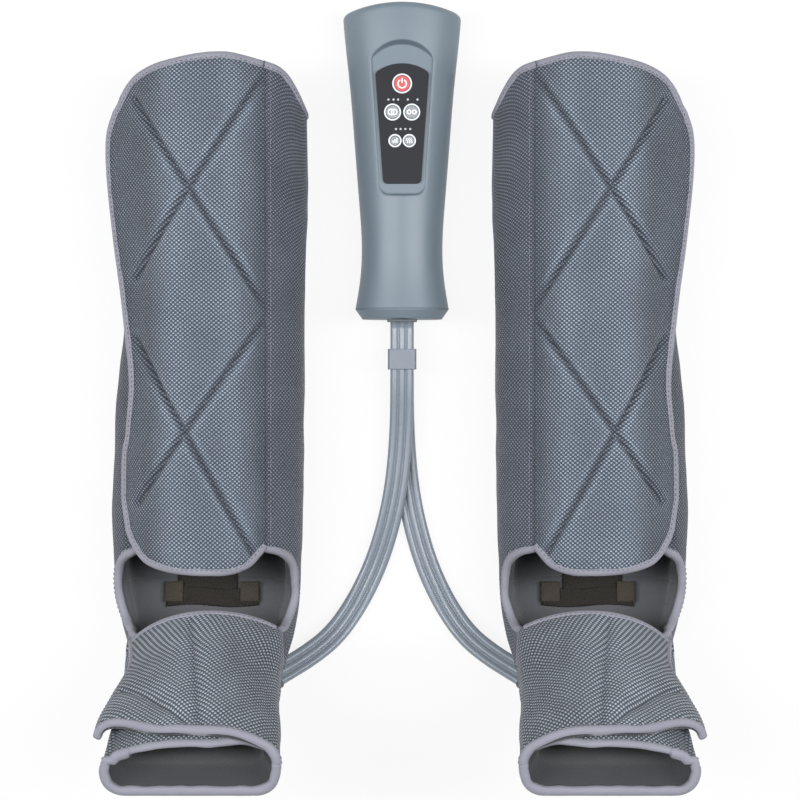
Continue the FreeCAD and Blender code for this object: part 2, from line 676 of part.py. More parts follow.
def route_edges(points):
    """Straight runs joined by the largest tangent arcs that the runs allow."""
    edges = []
    radii = []
    at = points[0]
    for before, corner, after in zip(points, points[1:], points[2:]):
        back = before - corner
        ahead = after - corner
        reach = BEND_REACH_SHARE * min(back.Length, ahead.Length)
        turn = math.pi - back.getAngle(ahead)
        radii.append(reach / math.tan(turn / 2))
        start = corner + back.normalize() * reach
        end = corner + ahead.normalize() * reach
        towards = (back + ahead).normalize()
        sagitta = radii[-1] * (1 / math.cos(turn / 2) - 1)
        edges.append(Part.LineSegment(at, start).toShape())
        edges.append(Part.Arc(start, corner + towards * sagitta, end).toShape())
        at = end
    edges.append(Part.LineSegment(at, points[-1]).toShape())
    return edges, radii


def ribbon_profile(origin):
    """Three round tubes joined side by side, standing across the Y axis."""
    half = HOSE_PITCH / 2
    rise = math.sqrt(HOSE_RADIUS ** 2 - half ** 2)
    meet = math.atan2(rise, half)

    def place(across, height):
        return origin + Vector(across, 0, height)

    arcs = [
        ((HOSE_PITCH, 0), meet - math.pi, -math.pi / 2), ((HOSE_PITCH, 0), -math.pi / 2, 0),
        ((HOSE_PITCH, 0), 0, math.pi / 2), ((HOSE_PITCH, 0), math.pi / 2, math.pi - meet),
        ((0, 0), meet, math.pi - meet), ((-HOSE_PITCH, 0), meet, math.pi / 2),
        ((-HOSE_PITCH, 0), math.pi / 2, math.pi), ((-HOSE_PITCH, 0), math.pi, 3 * math.pi / 2),
        ((-HOSE_PITCH, 0), 3 * math.pi / 2, 2 * math.pi - meet),
        ((0, 0), math.pi + meet, 2 * math.pi - meet),
    ]
    return Part.Wire([arc_edge(place, centre, HOSE_RADIUS, start, end) for centre, start, end in arcs])


def ribbon(name):
    points = hose_route(name)
    edges, radii = route_edges(points)
    path = Part.Wire(edges)
    above = path.copy()
    above.translate(Vector(0, 0, HOSE_DIAMETER))
    run = points[1] - points[0]
    profile = ribbon_profile(points[0])
    profile.rotate(points[0], Vector(1, 0, 0), math.degrees(math.atan2(-run.z, -run.y)))
    shell = Part.BRepOffsetAPI.MakePipeShell(path)
    shell.setAuxiliarySpine(above, False, 0)
    shell.add(profile)
    shell.build()
    shell.makeSolid()
    solid = Part.Solid(shell.shape())
    expected = Part.Face(profile).Area * path.Length
    print(name, "radii", [round(radius) for radius in radii], "length", round(path.Length, 1),
          "volume share", round(solid.Volume / expected, 4))
    return solid


def rounded_bar(centre, half_width, half_height, length, corner, direction):
    """Bar with rounded long edges, its width level and its length along a direction."""
    bar = Part.makeBox(2 * half_width, length, 2 * half_height, Vector(-half_width, 0, -half_height))
    bar = bar.makeFillet(corner, [edge for edge in bar.Edges if edge.BoundBox.YLength > length / 2])
    level = direction.cross(Vector(0, 0, 1))
    bar.Placement.Rotation = Rotation(level, direction, level.cross(direction), "XYZ")
    bar.translate(centre)
    return bar


def hose_entry():
    """Sleeve on the heel's inner side that takes the ribbon's end."""
    last, end = hose_route("left_hose")[-2:]
    direction = (end - last).normalize()
    length = ENTRY_LENGTH + OVERRUN
    sleeve = rounded_bar(end, ENTRY_HALF_WIDTH, ENTRY_HALF_HEIGHT, length, ENTRY_CORNER, direction)
    top = ANKLE_HEIGHT - ANKLE_OPENING_RADIUS
    inside = heel_form(0, top + ANKLE_OPENING_RADIUS / 2).fuse(foot_form(0))
    pieces = sleeve.cut(inside).Solids
    return min(pieces, key=lambda piece: piece.CenterOfMass.distanceToPoint(end))


def hose_clip():
    low = RIGHT_OUTLET_HEIGHT - HOSE_RADIUS - CLIP_WALL
    high = LEFT_OUTLET_HEIGHT + HOSE_RADIUS + CLIP_WALL
    start = Vector(CONTROLLER_SHIFT, CONTROLLER_END - CLIP_START - CLIP_LENGTH, (low + high) / 2)
    return rounded_bar(start, CLIP_HALF_WIDTH, (high - low) / 2, CLIP_LENGTH, CLIP_CORNER, Vector(0, 1, 0))


# Controller
def controller_form(inset):
    wires = []
    for along, width, depth in CONTROLLER_STATION_SHARES:
        half_width = CONTROLLER_HALF_WIDTH * width
        place = placed(controller_point, CONTROLLER_LENGTH * along)
        wire = section(place, half_width, half_width, CONTROLLER_DEPTH * depth + BACK_FLAT, inset)
        wire.translate(Vector(0, 0, -BACK_FLAT))
        wires.append(wire)
    return Part.makeLoft(wires, True, False)


def tapered_wire(start, end, half_start, half_end, arch, height):
    corners = [(-half_start, start), (half_start, start), (half_end, end), (-half_end, end)]
    points = [controller_point(*corner, height) for corner in corners]
    peak = controller_point(0, end + arch, height)
    edges = [Part.LineSegment(*pair).toShape() for pair in zip(points, points[1:3])]
    edges.append(Part.Arc(points[2], peak, points[3]).toShape())
    edges.append(Part.LineSegment(points[3], points[0]).toShape())
    return Part.Wire(edges)


def panel_prism(height, thickness):
    wire = tapered_wire(PANEL_START, PANEL_END, PANEL_HALF_START, PANEL_HALF_END, PANEL_ARCH, height)
    prism = Part.Face(wire).extrude(Vector(0, 0, thickness))
    corners = [edge for edge in prism.Edges if edge.BoundBox.ZLength > thickness / 2]
    return prism.makeFillet(PANEL_CORNER, corners)


def pocket(grow, floor):
    wires = []
    for rise, spread in ((0, 0), (POCKET_RISE, POCKET_DRAFT)):
        size = grow + spread
        halves = (POCKET_HALF_START + size, POCKET_HALF_END + size)
        wires.append(tapered_wire(POCKET_START - size, POCKET_END + size, *halves, POCKET_ARCH, floor + rise))
    form = Part.makeLoft(wires, True, True)
    return form.makeFillet(POCKET_CORNER, [edge for edge in form.Edges if edge.BoundBox.ZLength > POCKET_RISE / 2])


def arch_prism(wall):
    reach = CONTROLLER_HALF_WIDTH + OVERRUN
    arch = TOP_ARCH * (reach / CONTROLLER_HALF_WIDTH) ** 2
    wire = tapered_wire(END_CAP_LENGTH, CONTROLLER_LENGTH - wall - arch, reach, reach, arch, -OVERRUN)
    return Part.Face(wire).extrude(Vector(0, 0, CONTROLLER_DEPTH + 2 * OVERRUN))


def back_slab():
    """What is taken off below the table's level, to make the back exactly flat."""
    reach = CONTROLLER_HALF_WIDTH + OVERRUN
    low = controller_point(-reach, -OVERRUN, -OVERRUN)
    return Part.makeBox(2 * reach, CONTROLLER_LENGTH + 2 * OVERRUN, OVERRUN, low)


def controller_body():
    body = controller_form(0).common(arch_prism(0)).cut(back_slab())
    end_face = max(body.Faces, key=lambda face: face.CenterOfMass.y)
    return body.makeFillet(TOP_FILLET, end_face.Edges)


def upright(radius, across, along, low, high):
    return Part.makeCylinder(radius, high - low, controller_point(across, along, low))


def lengthwise(radius, across, start, end, height):
    return Part.makeCylinder(radius, end - start, controller_point(across, start, height), Vector(0, 1, 0))


def light_places():
    rows = ((UPPER_LIGHT_PLACE, UPPER_LIGHT_SHARES), (LOWER_LIGHT_PLACE, LOWER_LIGHT_SHARES))
    return [(share * PANEL_HALF_END, place) for place, shares in rows for share in shares]


def panel_holes(low, high):
    holes = [upright(radius + BUTTON_FIT, x, y, low, high) for _, x, y, radius in BUTTONS]
    holes += [upright(LIGHT_RADIUS + LIGHT_FIT, x, y, low, high) for x, y in light_places()]
    return Part.makeCompound(holes)


def screw_spots():
    places = ((UPPER_SCREW_X, UPPER_SCREW_PLACE), (LOWER_SCREW_X, LOWER_SCREW_PLACE))
    return [(side * x, y) for x, y in places for side in (-1, 1)]


def shells():
    body = controller_body()
    hollow = controller_form(SHELL_WALL).common(arch_prism(SHELL_WALL))
    wide = CONTROLLER_HALF_WIDTH + OVERRUN
    upper = Part.makeBox(
        2 * wide, CONTROLLER_LENGTH + 2 * OVERRUN, CONTROLLER_DEPTH + OVERRUN,
        controller_point(-wide, -OVERRUN, SHELL_PARTING))
    walls = body.cut(hollow)
    tub = body.common(pocket(TUB_FLOOR, TUB_BOTTOM))
    boss_x = BOARD_HALF_WIDTH - BOARD_BOSS_INSET
    boss_places = (BOARD_START + BOARD_BOSS_INSET, BOARD_END - BOARD_BOSS_INSET)
    boss_top = TUB_BOTTOM + TUB_FLOOR / 2
    bosses = [
        upright(BOARD_BOSS_RADIUS, side * boss_x, along, BOARD_TOP, boss_top)
        for side in (-1, 1) for along in boss_places]
    post_top = CONTROLLER_DEPTH + OVERRUN
    posts = [upright(SCREW_POST_RADIUS, x, y, -OVERRUN, post_top).common(body) for x, y in screw_spots()]
    solid = walls.fuse([tub] + posts)
    front = solid.common(upper).fuse(bosses).cut(pocket(0, POCKET_FLOOR))
    front = front.cut(panel_holes(TUB_BOTTOM - OVERRUN, PANEL_TOP))
    rear = solid.cut(upper)
    thread = SHELL_PARTING + SCREW_REACH
    for x, y in screw_spots():
        front = front.cut(upright(SCREW_RADIUS, x, y, 0, thread))
        rear = rear.cut(upright(SCREW_RADIUS, x, y, 0, thread))
        rear = rear.cut(upright(SCREW_HEAD_RADIUS, x, y, -OVERRUN, SCREW_HEAD_DEPTH + SCREW_HEAD_HEIGHT))
    return front, rear


def end_cap():
    """Bevelled lower end, with the ways through for the hoses and the power inlet."""
    wires = []
    _, width, depth = CONTROLLER_STATION_SHARES[0]
    half_width = CONTROLLER_HALF_WIDTH * width
    for along, inset in ((0, END_CAP_BEVEL), (END_CAP_LENGTH, 0)):
        place = placed(controller_point, along)
        wires.append(section(place, half_width, half_width, CONTROLLER_DEPTH * depth, inset))
    cap = Part.makeLoft(wires, True, True)
    return cap.cut(grommet_block()).cut(lengthwise(INLET_RADIUS, 0, -OVERRUN, OVERRUN, INLET_HEIGHT))


def grommet_block():
    low = RIGHT_OUTLET_HEIGHT - HOSE_RADIUS - GROMMET_WALL
    high = LEFT_OUTLET_HEIGHT + HOSE_RADIUS + GROMMET_WALL
    start = controller_point(0, -GROMMET_PROUD, (low + high) / 2)
    length = END_CAP_LENGTH + GROMMET_PROUD
    return rounded_bar(start, GROMMET_HALF_WIDTH, (high - low) / 2, length, GROMMET_CORNER, Vector(0, 1, 0))


def barbs(start, end, radius):
    heights = (LEFT_OUTLET_HEIGHT, RIGHT_OUTLET_HEIGHT)
    places = [(tube * HOSE_PITCH, height) for tube in (-1, 0, 1) for height in heights]
    return [lengthwise(radius, across, start, end, height) for across, height in places]


def manifold():
    block = Part.makeBox(
        2 * MANIFOLD_HALF_WIDTH, MANIFOLD_LENGTH, MANIFOLD_HEIGHT,
        controller_point(-MANIFOLD_HALF_WIDTH, MANIFOLD_START, SHELL_WALL))
    return block.fuse(barbs(END_CAP_LENGTH / 2, MANIFOLD_START + BARB_RADIUS, BARB_RADIUS))


def hose_grommet():
    return grommet_block().cut(Part.makeCompound(barbs(-OVERRUN, OVERRUN, BARB_RADIUS)))


def power_inlet():
    body = lengthwise(INLET_RADIUS, 0, 0, INLET_LENGTH, INLET_HEIGHT)
    bore = lengthwise(INLET_BORE, 0, -OVERRUN, INLET_DEPTH, INLET_HEIGHT)
    pin = lengthwise(INLET_PIN_RADIUS, 0, INLET_RADIUS / 2, INLET_LENGTH, INLET_HEIGHT)
    return body.cut(bore).fuse(pin)


def button(across, along, radius):
    """Round cap with a retaining flange that lies under the panel tray's floor."""
    cap = upright(radius, across, along, TUB_BOTTOM - BUTTON_FLANGE_HEIGHT, PANEL_TOP + BUTTON_PROUD)
    rim = max(cap.Edges, key=lambda edge: edge.CenterOfMass.z)
    cap = cap.makeFillet(BUTTON_PROUD / 2, [rim])
    flange_top = TUB_BOTTOM - BUTTON_SEAT
    flange = upright(radius + BUTTON_FLANGE, across, along, flange_top - BUTTON_FLANGE_HEIGHT, flange_top)
    return cap.fuse(flange).removeSplitter()


def button_ring(across, along, radius):
    inner = radius + BUTTON_FIT
    ring = upright(inner + RING_WIDTH, across, along, PANEL_TOP, PANEL_TOP + RING_HEIGHT)
    return ring.cut(upright(inner, across, along, PANEL_TOP - OVERRUN, PANEL_TOP + OVERRUN))


def push_switch(across, along):
    side = SWITCH_SIDE / 2
    corner = controller_point(across - side, along - side, BOARD_TOP)
    body = Part.makeBox(SWITCH_SIDE, SWITCH_SIDE, SWITCH_HEIGHT, corner)
    stem_low = BOARD_TOP + SWITCH_HEIGHT
    return body.fuse(upright(SWITCH_STEM_RADIUS, across, along, stem_low, stem_low + SWITCH_STEM_HEIGHT))


def control_board():
    return Part.makeBox(
        2 * BOARD_HALF_WIDTH, BOARD_END - BOARD_START, BOARD_THICKNESS,
        controller_point(-BOARD_HALF_WIDTH, BOARD_START, BOARD_TOP - BOARD_THICKNESS))


def pump_pieces():
    axis = SHELL_WALL + MOTOR_RADIUS
    motor_end = MOTOR_START + MOTOR_LENGTH
    wheel_start = motor_end + ECCENTRIC_GAP
    wheel_end = wheel_start + ECCENTRIC_LENGTH
    motor = lengthwise(MOTOR_RADIUS, 0, MOTOR_START, motor_end, axis)
    motor = motor.fuse(lengthwise(SHAFT_RADIUS, 0, motor_end, wheel_end, axis))
    wheel = lengthwise(ECCENTRIC_RADIUS, ECCENTRIC_OFFSET, wheel_start, wheel_end, axis)
    wheel = wheel.cut(lengthwise(SHAFT_RADIUS, 0, motor_end, wheel_end + OVERRUN, axis))
    corner = controller_point(-PUMP_HALF_WIDTH, motor_end, SHELL_WALL)
    head = Part.makeBox(2 * PUMP_HALF_WIDTH, PUMP_LENGTH, PUMP_HEIGHT, corner)
    head = head.cut(lengthwise(PUMP_CHAMBER_RADIUS, 0, motor_end - OVERRUN, wheel_end + ECCENTRIC_GAP, axis))
    return {"pump_motor": motor, "pump_eccentric": wheel, "pump_head": head}


def air_valves():
    valves = []
    for count in range(VALVE_COUNT):
        start = VALVE_START + count * VALVE_PITCH
        corner = controller_point(-VALVE_HALF_WIDTH, start, SHELL_WALL)
        box = Part.makeBox(2 * VALVE_HALF_WIDTH, VALVE_LENGTH, VALVE_HEIGHT, corner)
        top = SHELL_WALL + VALVE_HEIGHT
        coil = upright(VALVE_COIL_RADIUS, 0, start + VALVE_LENGTH / 2, top, top + VALVE_COIL_HEIGHT)
        valves.append(box.fuse(coil))
    return Part.makeCompound(valves)


def shell_screws():
    screws = []
    head_top = SCREW_HEAD_DEPTH + SCREW_HEAD_HEIGHT
    for x, y in screw_spots():
        head = upright(SCREW_HEAD_RADIUS, x, y, SCREW_HEAD_DEPTH, head_top)
        screws.append(head.fuse(upright(SCREW_RADIUS, x, y, head_top, SHELL_PARTING + SCREW_REACH)))
    return Part.makeCompound(screws)


def controller_pieces():
    front, rear = shells()
    pieces = {
        "controller_front_shell": front, "controller_rear_shell": rear, "controller_end_cap": end_cap(),
        "control_panel": panel_prism(POCKET_FLOOR, PANEL_THICKNESS).cut(panel_holes(0, CONTROLLER_DEPTH)),
        "button_rings": Part.makeCompound([button_ring(x, y, radius) for _, x, y, radius in BUTTONS]),
        "indicator_lights": Part.makeCompound(
            [upright(LIGHT_RADIUS, x, y, BOARD_TOP, PANEL_TOP + LIGHT_PROUD) for x, y in light_places()]),
        "control_board": control_board(),
        "push_switches": Part.makeCompound([push_switch(x, y) for _, x, y, _ in BUTTONS]),
        "air_valves": air_valves(), "air_manifold": manifold(), "hose_grommet": hose_grommet(),
        "power_inlet": power_inlet(), "shell_screws": shell_screws(),
    }
    pieces.update({name: button(x, y, radius) for name, x, y, radius in BUTTONS})
    pieces.update(pump_pieces())
    return pieces


def all_pieces():
    wrap = {**calf_pieces(), **heel_pieces(), **foot_pieces(), "hose_entry": hose_entry()}
    pieces = {}
    for name, shape in wrap.items():
        pieces["left_" + name] = shape
        pieces["right_" + name] = shape.mirror(Vector(0, 0, 0), Vector(1, 0, 0))
    pieces.update(controller_pieces())
    hoses = {name: ribbon(name) for name in HOSE_WAY_SHARES}
    pieces.update(hoses)
    pieces["hose_clip"] = hose_clip().cut(Part.makeCompound(list(hoses.values())))
    return pieces


for node, shape in all_pieces().items():
    shape.exportStep("parts/" + node + ".step")
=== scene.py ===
import bmesh
import bpy
import math
from itertools import accumulate
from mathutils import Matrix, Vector, noise


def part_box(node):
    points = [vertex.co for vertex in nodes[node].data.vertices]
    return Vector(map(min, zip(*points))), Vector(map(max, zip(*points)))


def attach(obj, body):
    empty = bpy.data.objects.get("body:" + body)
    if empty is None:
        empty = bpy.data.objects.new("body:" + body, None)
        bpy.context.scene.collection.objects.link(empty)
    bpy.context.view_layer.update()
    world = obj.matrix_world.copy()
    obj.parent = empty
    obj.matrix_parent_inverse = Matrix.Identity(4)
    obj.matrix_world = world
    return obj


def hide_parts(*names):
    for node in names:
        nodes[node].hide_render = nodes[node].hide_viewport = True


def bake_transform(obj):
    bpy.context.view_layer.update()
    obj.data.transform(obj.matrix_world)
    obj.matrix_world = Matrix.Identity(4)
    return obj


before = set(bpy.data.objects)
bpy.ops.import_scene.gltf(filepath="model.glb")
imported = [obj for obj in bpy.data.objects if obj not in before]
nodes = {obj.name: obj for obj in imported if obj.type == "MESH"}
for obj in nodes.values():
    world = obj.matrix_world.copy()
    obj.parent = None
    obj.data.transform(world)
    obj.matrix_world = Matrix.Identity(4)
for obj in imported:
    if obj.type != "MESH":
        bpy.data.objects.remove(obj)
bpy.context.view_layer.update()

SIDES = ("left", "right")
TAU = 2 * math.pi

# Sizes in millimetres, as the wraps are cut
MM = 0.001
WRAP_CENTRE = 134.0
CALF_LENGTH = 363.0
CALF_HALF_WIDTH = 68.0
CALF_DEPTH = 98.0
OUTER_SHARES = ((0.0, 0.97), (0.165, 1.0), (0.38, 0.94), (0.51, 0.89), (0.66, 0.956), (0.82, 1.03),
                (1.04, 1.015))
TOP_SHARES = ((-1.15, 0.8), (-0.949, 0.9), (-0.853, 0.937), (-0.41, 0.983), (0.19, 1.0),
              (0.68, 0.983), (0.84, 0.964), (1.0, 0.91), (1.15, 0.83))
SEAM_X = 42.0
SEAM_STITCH_X = SEAM_X + 3.2
FLAP_THICKNESS = 8.0
FLAP_SPAN = (0.161, 0.897)
FLAP_LEFT = ((0.161, -0.862), (0.256, -0.866), (0.382, -0.818), (0.504, -0.911), (0.66, -0.962),
             (0.8, -0.965), (0.86, -0.948), (0.897, -0.9))
FLAP_TOP = ((-0.924, 0.897), (-0.872, 0.919), (-0.81, 0.941), (-0.669, 0.965), (-0.4, 0.984),
            (0.19, 1.0), (0.62, 0.986))
FLAP_BOTTOM = ((-0.862, 0.161), (-0.8, 0.093), (-0.554, 0.037), (0.15, 0.020), (0.45, 0.034),
               (0.62, 0.0675))
QUILT_LINES = (((-49.5, 333.0), (42.7, 189.7)), ((42.7, 351.0), (-48.8, 211.8)),
               ((-49.5, 169.7), (34.5, 20.8)), ((42.7, 183.5), (-46.7, 57.0)))
UNDERLAP_ROOT_X = 40.0
ANKLE_HEIGHT = 90.0
OPENING_RADIUS = 30.0
OPENING_REACH = 25.0
LEAN = math.radians(16.0)
HEEL_TURN = math.pi / 2 - LEAN
FOOT_LENGTH = 140.0
TOE_Y = -265.5
SOLE_REACH = 90.8
ANKLE_Y = TOE_Y + SOLE_REACH * math.cos(LEAN) + FOOT_LENGTH * math.sin(LEAN)
FOOT_HALF_WIDTHS = (49.0, 57.6)
FOOT_DEPTHS = (86.0, 42.0)
FOOT_FLAP_START = 31.0
FLAP_INNER_START = 16.0
FLAP_OUTER_START = 22.0
WALL = 10.2
ROUND = (0.33, 0.5)
HOSE_DIAMETER = 5.8
HOSE_PITCH = HOSE_DIAMETER * 0.94
HEEL_RUN_RADIUS = 62.0
BAND_RADIUS = 79.0
BAND_LEVELS = (12.4, 10.6)
FOLD_LEVELS = (14.0, 12.6)
POCKET_LEVELS = (11.1, 10.0)
ABOVE_ALL = 200.0
TAPE_FLOOR = 0.02
STITCH_FLOOR = 0.4
FOOT_CREASES = (((-7.0, 27.0), (7.0, 138.0)), ((-45.0, 84.0), (-1.0, 131.0)))

# Points across and along the grids, and the cloth simulation of the padded faces
BOOT_POINTS = 128
FLAP_GRID = (92, 290)
FLAP_CLOTH_GRID = (46, 140)
FOOT_GRID = (96, 88)
FOOT_CLOTH_GRID = (48, 44)
FOOT_STRIP_STEPS = 96
# Even level of the painted light and tone attribute, for pieces that paint none
PLAIN_TONE_AND_LIGHT = 0.5
SWELL_FRAMES = 20
SWELL_PRESSURE = 4.0
FLAP_SWELL_CAP = 3.2
FOOT_SWELL_CAP = 2.6
CLOTH_SETTINGS = {
    "quality": 5, "mass": 0.15, "tension_stiffness": 6.0, "compression_stiffness": 6.0,
    "shear_stiffness": 3.0, "bending_stiffness": 0.05, "vertex_group_mass": "sewn",
    "use_pressure": True, "uniform_pressure_force": SWELL_PRESSURE,
}


# Small sums
def mix(low, high, share):
    return low + (high - low) * share


def ease(low, high, value):
    share = min(max((value - low) / (high - low), 0.0), 1.0)
    return share * share * (3 - 2 * share)


def spread(start, end, count):
    return [mix(start, end, step / count) for step in range(count + 1)]


def along_table(table, value):
    """Smooth value between a table's places, by a cubic through its neighbours."""
    last = len(table) - 1
    if value <= table[0][0]:
        return table[0][1]
    if value >= table[last][0]:
        return table[last][1]
    at = next(k for k in range(last) if value <= table[k + 1][0])
    (x0, y0), (x1, y1) = table[at], table[at + 1]

    def slope(k):
        low, high = table[max(k - 1, 0)], table[min(k + 1, last)]
        return (high[1] - low[1]) / (high[0] - low[0])

    width = x1 - x0
    t = (value - x0) / width
    a, b = slope(at) * width, slope(at + 1) * width
    start, end = (2 * t - 3) * t * t + 1, (3 - 2 * t) * t * t
    return start * y0 + ((t - 2) * t + 1) * t * a + end * y1 + (t - 1) * t * t * b


def bell(value, centre, width):
    return math.exp(-((value - centre) / width) ** 2)


def runs(path):
    """Distance run along a path at each of its points."""
    return [0.0, *accumulate((b - a).length for a, b in zip(path, path[1:]))]


def gather(columns, rows, spot):
    """Grids of the values that a spot function gives for shares across and along."""
    spots = [[spot(u, v) for u in spread(0.0, 1.0, columns - 1)] for v in spread(0.0, 1.0, rows - 1)]
    return [[[values[k] for values in row] for row in spots] for k in range(len(spots[0][0]))]


def lumps(point, size, seed=0.0):
    return noise.noise(Vector(point) / size + Vector((seed, seed, seed)))


def segment_distance(x, y, line):
    (ax, ay), (bx, by) = line
    run = (bx - ax) ** 2 + (by - ay) ** 2
    t = min(max(((x - ax) * (bx - ax) + (y - ay) * (by - ay)) / run, 0.0), 1.0)
    return math.hypot(x - ax - t * (bx - ax), y - ay - t * (by - ay))


# Finishes
class Thread:
    """One value in a finish. Arithmetic on it adds Math nodes."""

    def __init__(self, finish, socket):
        self.finish = finish
        self.socket = socket

    def sum(self, operation, first, second):
        return self.finish.node("ShaderNodeMath", {"operation": operation}, {0: first, 1: second})

    def __add__(self, other):
        return self.sum("ADD", self, other)

    def __sub__(self, other):
        return self.sum("SUBTRACT", self, other)

    def __mul__(self, other):
        return self.sum("MULTIPLY", self, other)


class Finish:
    """A material being made from nodes."""

    def __init__(self, name):
        self.material = bpy.data.materials.new(name)
        self.material.use_nodes = True
        self.tree = self.material.node_tree
        self.tree.nodes.clear()

    def node(self, kind, settings=None, sockets=None, output=0):
        made = self.tree.nodes.new(kind)
        for key, value in (settings or {}).items():
            setattr(made, key, value)
        for key, value in (sockets or {}).items():
            if isinstance(value, Thread):
                self.tree.links.new(value.socket, made.inputs[key])
            else:
                made.inputs[key].default_value = value
        return Thread(self, made.outputs[output]) if made.outputs else None

    def cloth_axes(self):
        place = self.node("ShaderNodeUVMap", {"uv_map": "cloth"})
        outputs = self.node("ShaderNodeSeparateXYZ", None, {0: place}).socket.node.outputs
        return [Thread(self, outputs[axis]) for axis in "XY"]

    def object_place(self):
        return self.node("ShaderNodeTexCoord", output="Object")

    def wave(self, value):
        return self.node("ShaderNodeMath", {"operation": "COSINE"}, {0: value})

    def step(self, value, low, high, start=0.0, end=1.0):
        return self.node("ShaderNodeMapRange", {"interpolation_type": "SMOOTHSTEP"}, {
            "Value": value, "From Min": low, "From Max": high, "To Min": start, "To Max": end})

    def grain(self, place, scale, detail=2.0, roughness=0.5):
        return self.node("ShaderNodeTexNoise", None, {
            "Vector": place, "Scale": scale, "Detail": detail, "Roughness": roughness})

    def colour_mix(self, factor, first, second, how="MIX"):
        sockets = {0: factor}
        for key, value in ((6, first), (7, second)):
            sockets[key] = value if isinstance(value, Thread) else (*value, 1.0)
        return self.node("ShaderNodeMix", {"data_type": "RGBA", "blend_type": how}, sockets, output=2)

    def eased(self, radius):
        return self.node("ShaderNodeBevel", {"samples": 6}, {"Radius": radius})

    def bump(self, height, distance, strength=1.0, normal=None):
        sockets = {"Height": height, "Distance": distance, "Strength": strength}
        if normal:
            sockets["Normal"] = normal
        return self.node("ShaderNodeBump", None, sockets)

    def surface(self, sockets):
        values = {key: (*value, 1.0) if isinstance(value, tuple) else value for key, value in sockets.items()}
        shader = self.node("ShaderNodeBsdfPrincipled", None, values)
        self.node("ShaderNodeOutputMaterial", None, {"Surface": shader})
        return self.material


def spacer_mesh(name, hollow, knob, pitch, row, rise, sheen):
    """Knitted mesh of staggered knobs, its colour multiplied by painted light and shade: paler for painted
    highlights, darker for painted shade, with some random tone.
    """
    finish = Finish(name)
    u, v = finish.cloth_axes()
    place = finish.object_place()
    wander = finish.grain(place, 90.0, 2.0)
    knobs = finish.wave((u + wander * 0.0006) * (TAU / pitch)) * finish.wave(v * (TAU / row)) * 0.5 + 0.5
    fibre = finish.grain(place, 2600.0, 1.0)
    cloud = finish.grain(place, 22.0, 3.0, 0.6)
    tone = finish.step(knobs, 0.42, 0.9) * (cloud * 0.7 + 0.62) + (fibre - 0.5) * 0.25
    # Per-point attribute of painted light and shade with random tone; it multiplies the knit's colour.
    full = finish.node("ShaderNodeAttribute", {"attribute_name": "tone_and_painted_light"}, output=2)
    painted_light = finish.colour_mix(full, (0.46, 0.45, 0.49), (1.30, 1.33, 1.34))
    colour = finish.colour_mix(1.0, finish.colour_mix(tone, hollow, knob), painted_light, "MULTIPLY")
    height = knobs + fibre * 0.3
    return finish.surface({
        "Base Color": colour, "Roughness": finish.step(knobs, 0.4, 0.95, 0.75, 0.34), "Sheen Weight": sheen,
        "Sheen Roughness": 0.35, "Specular IOR Level": 0.6, "Normal": finish.bump(height, rise, 1.0)})


def woven(name, low, high, pitch, rise, sheen=0.15, roughness=0.75):
    """Plain ribbed weave, for tapes, linings and bands."""
    finish = Finish(name)
    u, v = finish.cloth_axes()
    place = finish.object_place()
    ribs = finish.wave(u * (TAU / pitch)) * finish.wave(v * (TAU / pitch)) * 0.5 + 0.5
    fuzz = finish.grain(place, 1500.0, 2.0)
    cloud = finish.grain(place, 35.0, 3.0)
    colour = finish.colour_mix(ribs * 0.5 + fuzz * 0.3 + cloud * 0.4 - 0.1, low, high)
    return finish.surface({
        "Base Color": colour, "Roughness": finish.step(fuzz, 0.3, 0.7, roughness - 0.1, roughness + 0.1),
        "Sheen Weight": sheen, "Sheen Roughness": 0.4, "Specular IOR Level": 0.35,
        "Normal": finish.bump(ribs + fuzz * 0.8, rise, 0.8)})


def satin(name, colour, worn, roughness, grain=0.00006, coat=0.0, rounded=0.0004, shine=0.5):
    """Moulded plastic with eased edges, a fine texture, cloudy gloss and faint handling marks."""
    finish = Finish(name)
    place = finish.object_place()
    pits = finish.grain(place, 3200.0, 2.0)
    cloud = finish.grain(place, 30.0, 4.0, 0.6)
    rubs = finish.step(finish.grain(place, 140.0, 5.0, 0.7), 0.56, 0.74)
    edges = finish.eased(rounded) if rounded else None
    return finish.surface({
        "Base Color": finish.colour_mix(cloud * 0.6 + rubs * 0.25, colour, worn),
        "Roughness": cloud * 0.12 + rubs * 0.08 + (roughness - 0.06),
        "Coat Weight": coat, "Coat Roughness": 0.25,
        "Specular IOR Level": shine, "Normal": finish.bump(pits, grain, 0.6, edges)})


def metal(name, colour, roughness):
    finish = Finish(name)
    place = finish.object_place()
    brushed = finish.grain(place, 900.0, 3.0)
    return finish.surface({
        "Base Color": finish.colour_mix(brushed, colour, tuple(c * 0.8 for c in colour)), "Metallic": 1.0,
        "Roughness": brushed * 0.15 + roughness, "Normal": finish.bump(brushed, 0.00002, 0.5)})


FLAP_MESH = spacer_mesh("flap_spacer_mesh", (0.046, 0.058, 0.079), (0.305, 0.358, 0.425),
                        pitch=0.0032, row=0.0028, rise=0.0011, sheen=0.10)
